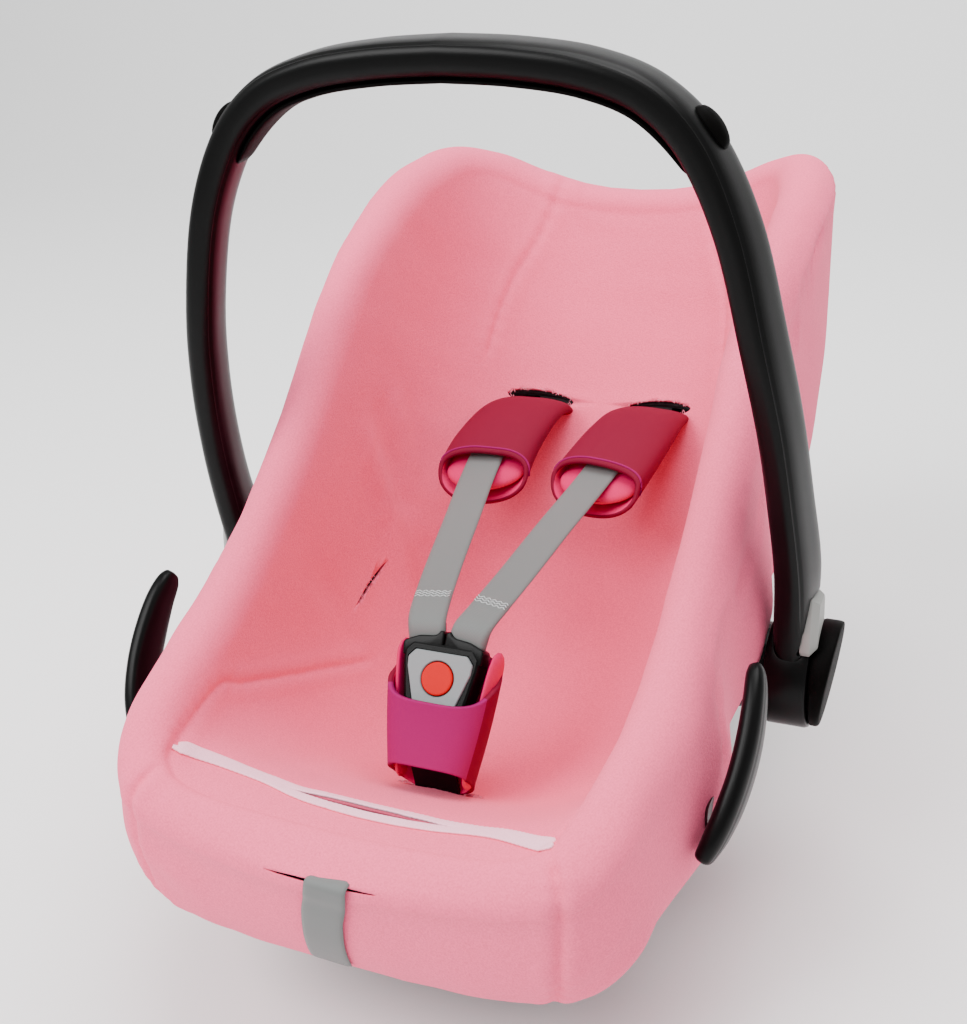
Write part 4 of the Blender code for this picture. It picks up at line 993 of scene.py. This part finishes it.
def make_straps():
    """Shoulder straps from the tongues over the shoulders and down the back of the shell, stitched."""
    table = list(SHOULDER_PATH)
    point = shell_back(0.047, 0.190)[0]
    table.append((0.047, point.y + 0.6 * 0.0035, point.z - 0.8 * 0.0035))
    for x, z in ((0.044, 0.176), (0.036, 0.160), (0.026, 0.146)):
        point, normal = shell_back(x, z)
        off = Vector((0, normal.y, normal.z)).normalized() * 0.0045
        table.append((x, point.y + off.y, point.z + off.z))
    path = even(table, 0.0022)
    normals = path_normals(path)
    stitches = []
    run = 0.0
    for i in range(1, 30):
        run += (path[i] - path[i - 1]).length
        for wanted in STITCH_ROWS:
            if abs(run - wanted) < 0.0011:
                stitches += stitch_row(path[i], (path[i + 1] - path[i - 1]).normalized(), normals[i], run)
    for tag, flip in SIDES:
        obj = ribbon("Harness_Webbing" + tag, path, normals, strap_thickness, flip)
        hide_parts("Shoulder_Strap" + tag)
    lines = [[flipped(p, flip) for p in ends] for _, flip in SIDES for ends in stitches]
    add_threads("Harness_Stitches", lines, 0.00032, STITCH)


make_straps()


# the pads' places as shares of the shoulder strap's line
PAD_LOW = 0.448
PAD_MOUTH = 0.500
PAD_TOP = 0.893
PAD_AROUND = 64
PAD_ROWS = 46


def strap_frame(t):
    """Point of the shoulder strap's line at the share t, its outward normal and its sideways direction."""
    ahead = Vector(catmull(SHOULDER_PATH, t + 0.02)) - Vector(catmull(SHOULDER_PATH, t - 0.02))
    normal = ACROSS.cross(ahead.normalized()).normalized()
    return Vector(catmull(SHOULDER_PATH, t)), normal, ahead.normalized().cross(normal).normalized()


def pad_ring(r, flip):
    """One ring of the sleeve: its mouth is cut long at the back, and it flattens towards the slot."""
    ring = []
    for k in range(PAD_AROUND):
        ang = 2 * pi * (k + 0.5) / PAD_AROUND
        start = PAD_MOUTH - (PAD_MOUTH - PAD_LOW) * (0.5 * (1 - sin(ang))) ** 1.5
        t = start + (PAD_TOP - start) * r / PAD_ROWS
        point, normal, side = strap_frame(t)
        f = max(0.0, (t - PAD_LOW) / (PAD_TOP - PAD_LOW))
        half_w = 0.0335 * (1 - 0.24 * f) * (1 + 0.05 * sin(pi * f))
        half_t = 0.0150 * (1 - f ** 1.5) + 0.0042 * f ** 1.5
        half_t *= 1.0 if sin(ang) < 0 else 0.90
        squeeze = 0.84 if f < 0.5 else 0.84 - 0.1 * (f - 0.5)
        u = half_w * signed_power(cos(ang), squeeze)
        v = half_t * signed_power(sin(ang), squeeze)
        centre = point - normal * (0.0052 * (1 - f))
        swell = 0.0007 * noise.noise(Vector((u * 60, v * 60, t * 9 + flip)))
        ring.append(flipped(centre + side * (u * (1 + 12 * swell)) + normal * (v + swell), flip))
    return ring


def pad_lining(tag, flip):
    """Soft neon roll inside the mouth, under the strap, with a hollow where the strap lies."""
    rings = []
    for r in range(31):
        f = r / 30
        point, normal, side = strap_frame(0.4535 + 0.16 * f)
        tip = math.sqrt(max(0.0, 1 - (1 - min(1.0, f / 0.30)) ** 2))
        half_w = 0.0288 * (0.08 + 0.92 * tip)
        half_t = 0.0064 * (0.25 + 0.75 * tip)
        centre = point - normal * 0.0082
        ring = []
        for k in range(40):
            ang = 2 * pi * k / 40
            u = half_w * signed_power(cos(ang), 0.8)
            v = half_t * signed_power(sin(ang), 0.9)
            v -= 0.0011 * math.exp(-(u / 0.012) ** 2) * (sin(ang) > 0)
            ring.append(flipped(centre + side * u + normal * v, flip))
        rings.append(ring)
    loft("Pad_Lining" + tag, rings, [LINING])


def pad_welt(tag, pad, ring):
    """Thin bead along the front edge of the sleeve's mouth."""
    tree = tree_of(pad.data)
    front = [p for k, p in enumerate(ring) if sin(2 * pi * (k + 0.5) / PAD_AROUND) > -0.2]
    welt = []
    for p in sorted(front, key=lambda p: p.x):
        place, normal, _, _ = tree.find_nearest(p)
        welt.append(place + normal * 0.0003)
    tube("Pad_Welt" + tag, welt, 0.00075, MAGENTA)


def make_shoulder_pads():
    """Neoprene sleeves over the shoulder straps, each with a welt and a lining."""
    for tag, flip in SIDES:
        rings = [pad_ring(r, flip) for r in range(PAD_ROWS + 1)]
        pad = loft("Neoprene_Pad" + tag, rings, [NEOPRENE, LINING], caps=False)
        if flip < 0:
            pad.data.flip_normals()
        turn_out(pad)
        solidify(pad, 0.0030, inner=1)
        pad.data.shade_smooth()
        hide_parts("Shoulder_Pad" + tag)
        pad_welt(tag, pad, rings[1])
        pad_lining(tag, flip)


make_shoulder_pads()


SLEEVE_AROUND = 72
SLEEVE_ROWS = 40


def sleeve_share(u):
    """How far up the buckle's sleeve a height u lies, 0..1."""
    return min(1.0, max(0.0, (u + 0.060) / 0.075))


def sleeve_point(k, t):
    """Point of the sleeve round the buckle; k counts round it, t runs up it."""
    ang = 2 * pi * (k + 0.5) / SLEEVE_AROUND
    lift = 0.5 * (1 - sin(ang))
    top = -0.0155 + 0.0370 * lift ** 1.25
    low = -0.0545 - 0.0150 * lift ** 1.4
    u = low + (top - low) * t
    g = sleeve_share(u)
    half_w = 0.0275 + 0.0100 * g + 0.0012 * sin(pi * g)
    half_d = 0.0195 - 0.0010 * g
    x = half_w * signed_power(cos(ang), 0.70)
    n = half_d * signed_power(sin(ang), 0.78)
    n += 0.0016 * t ** 3 * (sin(ang) > 0) * (1 - (x / half_w) ** 2)
    wave = 0.0006 * noise.noise(Vector((x * 50, u * 50, n * 50)))
    return on_buckle(x, u, n * (1 + 20 * wave) - 0.0090 - 0.0080 * (1 - g))


def sleeve_lining(tag, flip):
    """Neon roll along the inside of one of the sleeve's sides."""
    rings = []
    for r in range(37):
        f = r / 36
        u = -0.0640 + 0.0860 * f
        end = math.sqrt(max(0.0, 1 - (abs(f * 2 - 1)) ** 6))
        g = sleeve_share(u)
        x0 = 0.0235 + 0.0088 * g
        n0 = -0.0140 - 0.0080 * (1 - g) - 0.0035 * max(0.0, f - 0.5)
        ring = []
        for k in range(28):
            ang = 2 * pi * k / 28
            x = x0 + (0.0030 * cos(ang)) * (0.2 + 0.8 * end)
            n = n0 + (0.0118 * sin(ang)) * (0.15 + 0.85 * end)
            x -= 0.0012 * sin(ang) * sin(ang)
            ring.append(on_buckle(x * flip, u, n))
        rings.append(ring)
    loft("Buckle_Pad_Lining" + tag, rings, [LINING])


def make_crotch_pad():
    """Neoprene sleeve round the buckle: low at the front, high behind, magenta in front, lined in neon."""
    rings = [[sleeve_point(k, r / SLEEVE_ROWS) for k in range(SLEEVE_AROUND)] for r in range(SLEEVE_ROWS + 1)]
    outside = SLEEVE_ROWS * SLEEVE_AROUND
    marks = [0 if sin(2 * pi * (i % SLEEVE_AROUND + 1) / SLEEVE_AROUND) > 0.42 else 2 for i in range(outside)]
    verts = [p for ring in rings for p in ring]
    pad = add_piece("Buckle_Pad", verts, loft_faces(len(rings), SLEEVE_AROUND, False),
                    [MAGENTA, LINING, NEOPRENE], marks=marks)
    face_out(pad)
    turn_out(pad)
    solidify(pad, 0.0034, inner=1)
    for p in pad.data.polygons:
        if p.material_index == 3 or (p.material_index == 2 and outside <= p.index < 2 * outside):
            p.material_index = 1
    pad.data.shade_smooth()
    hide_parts("Crotch_Pad")
    for tag, flip in SIDES:
        sleeve_lining(tag, flip)


make_crotch_pad()


def plate(name, outline, matrix, thickness, mats, body="seat"):
    """A flat plate: outline in its own plane, matrix maps (u, v, w) to the table frame."""
    verts = [matrix @ Vector((u, v, w)) for w in (0.0, thickness) for u, v in outline]
    obj = add_piece(name, verts, loft_faces(2, len(outline)), mats, body, smooth=False)
    face_out(obj)
    return obj


def rounded_polygon(points, radius, steps=5):
    """Outline with its corners rounded."""
    out = []
    count = len(points)
    for i in range(count):
        p = Vector((*points[i], 0.0))
        a = Vector((*points[i - 1], 0.0)) - p
        b = Vector((*points[(i + 1) % count], 0.0)) - p
        r = min(radius, a.length * 0.45, b.length * 0.45)
        start = p + a.normalized() * r
        end = p + b.normalized() * r
        for k in range(steps + 1):
            f = k / steps
            q = start * (1 - f) ** 2 + p * 2 * f * (1 - f) + end * f * f
            out.append((q.x, q.y))
    return out


def buckle_plane(n):
    base = on_buckle(0.0, 0.0, n)
    return Matrix(((1, BUCKLE_UP.x, BUCKLE_FACE.x, base.x), (0, BUCKLE_UP.y, BUCKLE_FACE.y, base.y),
                   (0, BUCKLE_UP.z, BUCKLE_FACE.z, base.z), (0, 0, 0, 1)))


def make_tongues():
    """Moulded tongue ends: two black wings that meet on the middle line above the buckle's face."""
    for tag, flip in SIDES:
        points = [(0.0005, 0.0180), (0.0005, 0.0285), (0.0030, 0.0300), (0.0060, 0.0262), (0.0170, 0.0250),
                  (0.0272, 0.0205), (0.0262, 0.0115), (0.0232, 0.0118), (0.0190, 0.0158), (0.0100, 0.0178)]
        outline = [(x * flip, u) for x, u in rounded_polygon(points, 0.0022)]
        if flip < 0:
            outline = outline[::-1]
        wing = plate("Tongue_Wing" + tag, outline, buckle_plane(-0.0132), 0.0128, [BLACK])
        bevel(wing, 0.0014, 3)
        smooth_by_angle(wing, 38)


make_tongues()


# ---------------------------------------------------------------- carry handle
DRUM_R = 0.0365
DRUM_IN = 0.1805
DRUM_OUT = 0.2085
DISC_R = 0.0345
BORE_R = 0.0300
BORE_FLOOR = 0.1850
BUTTON_IN = 0.2022
GAP = 0.0004                    # between the drum and its disc
AXLE_HOLE_R = 0.0085
POCKET_FROM = 0.1967            # the release button's pocket in the handle
POCKET_DEEP = 0.0175
ARCH_MIDDLE = Vector((0.0, 0.0, 0.40))
BUTTON_EDGE = [
    (-0.0225, 0.0650), (-0.0255, 0.0520), (-0.0275, 0.0400), (-0.0280, 0.0305), (-0.0265, 0.0275),
    (-0.0210, 0.0330), (-0.0120, 0.0375), (-0.0030, 0.0395), (-0.0005, 0.0440), (-0.0010, 0.0600),
    (-0.0040, 0.0640),
]
# half the arch, hub to middle of the grip: x, y, z, half thickness, half depth, toe-in in degrees
ARCH = [
    (0.1955, -0.012, 0.168, 0.0125, 0.0225, 0.0),
    (0.1962, -0.022, 0.207, 0.0112, 0.0210, 4.0),
    (0.1980, -0.031, 0.252, 0.0107, 0.0190, 12.0),
    (0.1946, -0.041, 0.301, 0.0102, 0.0182, 12.0),
    (0.1890, -0.048, 0.351, 0.0100, 0.0182, 12.0),
    (0.1797, -0.0525, 0.402, 0.0098, 0.0187, 12.0),
    (0.1650, -0.0510, 0.462, 0.0100, 0.0187, 10.0),
    (0.1440, -0.047, 0.506, 0.0104, 0.0187, 5.0),
    (0.1170, -0.045, 0.5325, 0.0105, 0.0185, 0.0),
    (0.0830, -0.045, 0.5460, 0.0105, 0.0185, 0.0),
    (0.0420, -0.045, 0.5520, 0.0105, 0.0185, 0.0),
    (0.0000, -0.045, 0.5540, 0.0105, 0.0185, 0.0),
]


def arch_line(steps):
    half = [catmull(ARCH, i / steps) for i in range(steps + 1)]
    return [(-x, y, z, t, d, -toe) for x, y, z, t, d, toe in half] + [tuple(r) for r in half[-2::-1]]


def arch_frames(steps):
    """Centre, direction out of the arch, direction forward, half thickness and half depth at each station."""
    line = arch_line(steps)
    last = len(line) - 1
    found = []
    for i, (x, y, z, thick, depth, toe) in enumerate(line):
        ahead = (Vector(line[min(i + 1, last)][:3]) - Vector(line[max(i - 1, 0)][:3])).normalized()
        fore = Vector((-sin(radians(toe)), -cos(radians(toe)), 0.0))
        fore = (fore - ahead * fore.dot(ahead)).normalized()
        found.append((Vector((x, y, z)), ahead.cross(fore), fore, thick, depth))
    return found


def outward(centre, wide):
    """The sideways direction of a station, turned away from the middle of the arch."""
    away = centre - ARCH_MIDDLE
    return wide if wide.dot(Vector((away.x, 0.0, away.z))) > 0 else -wide


def lathe(name, profile, side, mats, sides=96, tilt=None):
    """Turn (x, r) points about the hub axis; side picks the left or right hub."""
    rings = []
    for x, r in profile:
        ring = []
        for k in range(sides):
            ang = 2 * pi * k / sides
            z = PIVOT_Z + r * sin(ang)
            push = tilt(x, z) if tilt else 0.0
            ring.append(Vector((side * (x + push), PIVOT_Y + r * cos(ang), z)))
        rings.append(ring)
    return loft(name, rings, mats, "handle")


def button_outline(grow, about=(-0.0150, 0.0465)):
    """The release button's edge, about the hub's axis, scaled about one of its points."""
    return [(about[0] + (y - about[0]) * grow, about[1] + (z - about[1]) * grow) for y, z in BUTTON_EDGE]


def hub_plane(side, x):
    return Matrix(((0, 0, side, side * x), (1, 0, 0, PIVOT_Y), (0, 1, 0, PIVOT_Z), (0, 0, 0, 1)))


def arch_ring(centre, wide, fore, thick, depth):
    """Section of the arch, with a thin groove along each side of both faces above the hubs."""
    ring = []
    for u, v in rounded_outline(thick, depth, 3.1, 72):
        grooved = abs(abs(v) - 0.80 * depth) < 0.0009 and centre.z > 0.215
        pull = 1.0 - (0.0006 if grooved else 0.0) / thick
        ring.append(centre + wide * u * pull + fore * v)
    return ring


def make_handle():
    """Arch and hub drums in one, with the disc's recess, the axle's hole and the button's pocket."""
    handle = loft("Handle_Arch", [arch_ring(*frame) for frame in arch_frames(110)], [BLACK], "handle")
    e = 0.0028
    drum = [(DRUM_IN, DRUM_R - e), (DRUM_IN + e * 0.3, DRUM_R - e * 0.3), (DRUM_IN + e, DRUM_R),
            (DRUM_OUT - e, DRUM_R), (DRUM_OUT - e * 0.3, DRUM_R - e * 0.3), (DRUM_OUT, DRUM_R - e)]
    for side in (-1, 1):
        boolean(handle, lathe("drum", drum, side, [BLACK]), "UNION")
        boolean(handle, lathe("bore", [(BORE_FLOOR, BORE_R), (0.24, BORE_R)], side, [BLACK]))
        boolean(handle, lathe("hole", [(0.17, AXLE_HOLE_R), (0.21, AXLE_HOLE_R)], side, [BLACK]))
        edge = button_outline(1.07)
        boolean(handle, plate("pocket", edge, hub_plane(side, POCKET_FROM), POCKET_DEEP, [BLACK], "handle"))
    smooth_by_angle(handle, 32)
    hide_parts("Carry_Handle")


make_handle()


def make_hooks():
    """Crescent tabs for the sun canopy, low on the outer corners of the arch."""
    frames = arch_frames(220)
    for tag, side in SIDES:
        near = [f for f in frames if side * f[0].x > 0.05 and 0.500 < f[0].z < 0.521]
        if side > 0:
            near = near[::-1]
        rings = []
        for i, (centre, wide, fore, thick, _) in enumerate(near):
            f = (i / (len(near) - 1)) * 2 - 1
            high = 0.0012 + 0.0052 * math.sqrt(max(0.0, 1 - f * f))
            out = outward(centre, wide)
            mid = centre + out * (thick - 0.0010) - fore * 0.002
            outline = rounded_outline(0.0070 * math.sqrt(max(0.12, 1 - f * f * 0.8)), high, 2.6, 28)
            rings.append([mid + fore * u + out * v for u, v in outline])
        hook = loft("Hook_Tab" + tag, rings, [SOFT], "handle")
        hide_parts("Canopy_Hook" + tag)


make_hooks()


def make_grip():
    """Soft insert along the inner face of the arch, with rolled ends."""
    frames = [f for f in arch_frames(110) if abs(f[0].x) < 0.150 and f[0].z > 0.45]
    rings = []
    last = len(frames) - 1
    for i, (centre, wide, fore, thick, depth) in enumerate(frames):
        inward = -outward(centre, wide)
        ease = min(1.0, min(i, last - i) / 9.0)
        ease = math.sqrt(max(0.0, 1 - (1 - ease) ** 2))
        deep = 0.0005 + 0.0014 * ease
        mid = centre + inward * (thick - 0.0002 + deep)
        outline = rounded_outline(deep, depth * (0.45 + 0.20 * ease), 3.0, 32)
        rings.append([mid + inward * u + fore * v for u, v in outline])
    grip = loft("Grip_Insert", rings, [SOFT], "handle")
    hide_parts("Handle_Grip")


make_grip()


def disc_lean(x, z):
    """How far the disc's outer face leans out, more towards its top."""
    share = min(1.0, max(0.0, (x - DRUM_OUT - GAP) / 0.004))
    return share * 0.135 * (z - PIVOT_Z + DISC_R)


def make_disc(tag, side):
    """Hub disc with a sunk panel line and a face that leans out at the top."""
    base = DRUM_OUT + GAP
    top = base + 0.0048
    round_r = 0.0022
    profile = [(base, DISC_R - 0.0012), (base + 0.0006, DISC_R), (base + 0.0026, DISC_R)]
    for k in range(1, 7):
        ang = k / 6 * pi / 2
        profile.append((base + 0.0026 + round_r * sin(ang), DISC_R - round_r * (1 - cos(ang))))
    profile += [(top + 0.0001, 0.0306), (top - 0.0007, 0.0302), (top - 0.0007, 0.0294),
                (top + 0.0001, 0.0290), (top + 0.0006, 0.0180), (top + 0.0009, 0.0060),
                (top + 0.0010, 0.0004)]
    disc = lathe("Hub_Face" + tag, profile, side, [SOFT], tilt=disc_lean)
    smooth_by_angle(disc, 40)
    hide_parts("Hub_Disc" + tag)


def make_release_button(tag, side):
    """Wedge-shaped button: straight sides, then a face that slopes back to its rear edge."""
    rear = (-0.0085, 0.0480)
    straight = ((0.98, 0.0), (1.0, 0.0006), (1.0, 0.0052), (0.985, 0.0060))
    sloped = ((0.80, 0.0098), (0.76, 0.0102), (0.40, 0.0104))
    steps = [(button_outline(grow), out) for grow, out in straight]
    steps += [(button_outline(grow, rear), out) for grow, out in sloped]
    rings = [[Vector((side * (BUTTON_IN + out), PIVOT_Y + y, PIVOT_Z + z)) for y, z in outline]
             for outline, out in steps]
    body = "release_button" + ("_right" if side > 0 else "_left")
    button = loft("Button_Wedge" + tag, rings, [GREY], body)
    smooth_by_angle(button, 24)
    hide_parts("Release_Button" + tag)


for hub_tag, hub_side in SIDES:
    make_disc(hub_tag, hub_side)
    make_release_button(hub_tag, hub_side)


# belt guide, top to bottom: x, y, z, half thickness, half depth
GUIDE = [
    (0.1925, -0.1200, 0.2390, 0.0030, 0.0045), (0.1945, -0.1250, 0.2350, 0.0055, 0.0090),
    (0.1965, -0.1360, 0.2245, 0.0065, 0.0120), (0.1970, -0.1500, 0.2090, 0.0070, 0.0140),
    (0.1955, -0.1640, 0.1940, 0.0070, 0.0145), (0.1920, -0.1770, 0.1800, 0.0070, 0.0135),
    (0.1870, -0.1870, 0.1670, 0.0065, 0.0115), (0.1815, -0.1940, 0.1560, 0.0050, 0.0080),
]


def guide_ring(t, flip):
    """Section of a belt guide, with its parting line on the outer face and rounded ends."""
    x, y, z, thick, depth = catmull(GUIDE, t)
    ahead = Vector(catmull(GUIDE, min(1.0, t + 0.02))[:3]) - Vector(catmull(GUIDE, max(0.0, t - 0.02))[:3])
    ahead.normalize()
    wide = (ACROSS - ahead * ahead.x).normalized()
    fore = ahead.cross(wide)
    close = min(t, 1 - t) / 0.05
    cap = math.sqrt(max(0.02, 1 - (1 - min(1.0, close)) ** 2))
    ring = []
    for u, v in rounded_outline(thick * cap, depth * cap, 2.6, 56):
        line = math.exp(-((v / depth - 0.45) / 0.05) ** 2) * (1.0 if u > 0 else 0.0)
        ring.append(flipped(Vector((x, y, z)) + wide * (u - 0.0005 * line * cap) + fore * v, flip))
    return ring


def make_guides():
    """Lap-belt guides: curved fins on both sides."""
    steps = 90
    for tag, flip in SIDES:
        rings = [guide_ring(i / steps, flip) for i in range(steps + 1)]
        guide = loft("Belt_Fin" + tag, rings, [BLACK])
        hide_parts("Belt_Guide" + tag)


make_guides()


# the adjuster strap's course down the front: x, and how far below the strap slot
TAIL = ((0.0055, 0.0034), (0.0045, 0.0080), (0.0030, 0.0140), (0.0005, 0.0230), (-0.0012, 0.0330),
        (-0.0028, 0.0440), (-0.0042, 0.0560), (-0.0056, 0.0660))
TAIL_THICK = 0.0017


def make_tail():
    """Free end of the adjuster strap: out of its slot and down the front of the cover."""
    mouth = Vector(LIPS[STRAP_SLOT][0])
    table = [(0.0060, mouth.y + 0.0160, mouth.z + 0.0015), (0.0060, mouth.y + 0.0060, mouth.z + 0.0012),
             (0.0060, mouth.y - 0.0012, mouth.z + 0.0008)]
    for x, drop in TAIL:
        place, normal, _, _ = SKIN.ray_cast(Vector((x, -0.6, mouth.z - drop)), Vector((0, 1, 0)))
        lean = Vector((0, normal.y, normal.z)).normalized() * 0.0013
        table.append((x, place.y + lean.y, place.z + lean.z))
    path = even(table, 0.0020)
    tail = ribbon("Adjuster_Webbing", path, path_normals(path), lambda run: TAIL_THICK)
    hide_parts("Adjuster_Strap")


make_tail()


# springs: the joint that presses each, its axis out of the seat, the share of its length it keeps, its body
LEVER_TILT = radians(24)
SPRINGS = {
    "Lock_Spring_R": ("release_press_right", ACROSS, 0.5, "handle"),
    "Lock_Spring_L": ("release_press_left", -ACROSS, 0.5, "handle"),
    "Buckle_Spring": ("buckle_press", BUCKLE_FACE, 0.48, "seat"),
    "Adjuster_Spring": ("adjuster_press", Vector((0.0, sin(LEVER_TILT), cos(LEVER_TILT))), 0.30, "seat"),
}


def make_springs():
    """Steel coil springs copied from the imported ones, each on its body."""
    for node, (joint, axis, keep, body) in SPRINGS.items():
        obj = bpy.data.objects.new(node + "_Coil", NODES[node].data.copy())
        bpy.context.scene.collection.objects.link(obj)
        obj.data.materials.clear()
        obj.data.materials.append(STEEL)
        anchor = min((v.co for v in obj.data.vertices), key=lambda p: p.dot(axis)).copy()
        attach(obj, body)
        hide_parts(node)
        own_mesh(obj)


make_springs()


# ---------------------------------------------------------------- floor and light
def make_stage():
    """Plain floor that curves up into a backdrop."""
    half = 3.0
    bend_at = 1.6
    bend = 1.0
    sunk = 0.0004
    profile = [(-half, 0.0), (bend_at, 0.0)]
    for k in range(1, 17):
        ang = k / 16 * pi / 2
        profile.append((bend_at + bend * sin(ang), bend * (1 - cos(ang))))
    profile.append((bend_at + bend, 4.0))
    verts = [(x, y, z - sunk) for y, z in profile for x in (-half * 1.6, half * 1.6)]
    faces = [(2 * i, 2 * i + 1, 2 * i + 3, 2 * i + 2) for i in range(len(profile) - 1)]
    mesh = bpy.data.meshes.new("Floor")
    mesh.from_pydata(verts, [], faces)
    mesh.shade_smooth()
    mesh.materials.append(new_material("Floor_White", (0.90, 0.90, 0.90), 0.9)[0])
    floor = bpy.data.objects.new("Floor", mesh)
    bpy.context.scene.collection.objects.link(floor)


def area_light(name, place, target, size, power):
    data = bpy.data.lights.new(name, "AREA")
    data.shape = "RECTANGLE"
    data.size, data.size_y = size
    data.energy = power
    obj = bpy.data.objects.new(name, data)
    obj.location = place
    obj.rotation_euler = (Vector(target) - Vector(place)).to_track_quat("-Z", "Y").to_euler()
    bpy.context.scene.collection.objects.link(obj)


def make_lights():
    world = bpy.data.worlds.new("World")
    bpy.context.scene.world = world
    world.use_nodes = True
    world.node_tree.nodes["Background"].inputs["Color"].default_value = (1.0, 1.0, 1.0, 1.0)
    world.node_tree.nodes["Background"].inputs["Strength"].default_value = 0.85
    area_light("Key", (-1.1, -1.5, 2.1), (0.0, 0.0, 0.25), (1.5, 1.5), 84.0)
    area_light("Top", (0.3, 0.3, 2.4), (0.0, 0.0, 0.2), (1.6, 1.6), 68.0)
    area_light("Side", (1.9, -0.6, 1.0), (0.0, 0.0, 0.3), (1.0, 1.6), 2.0)


make_stage()
make_lights()
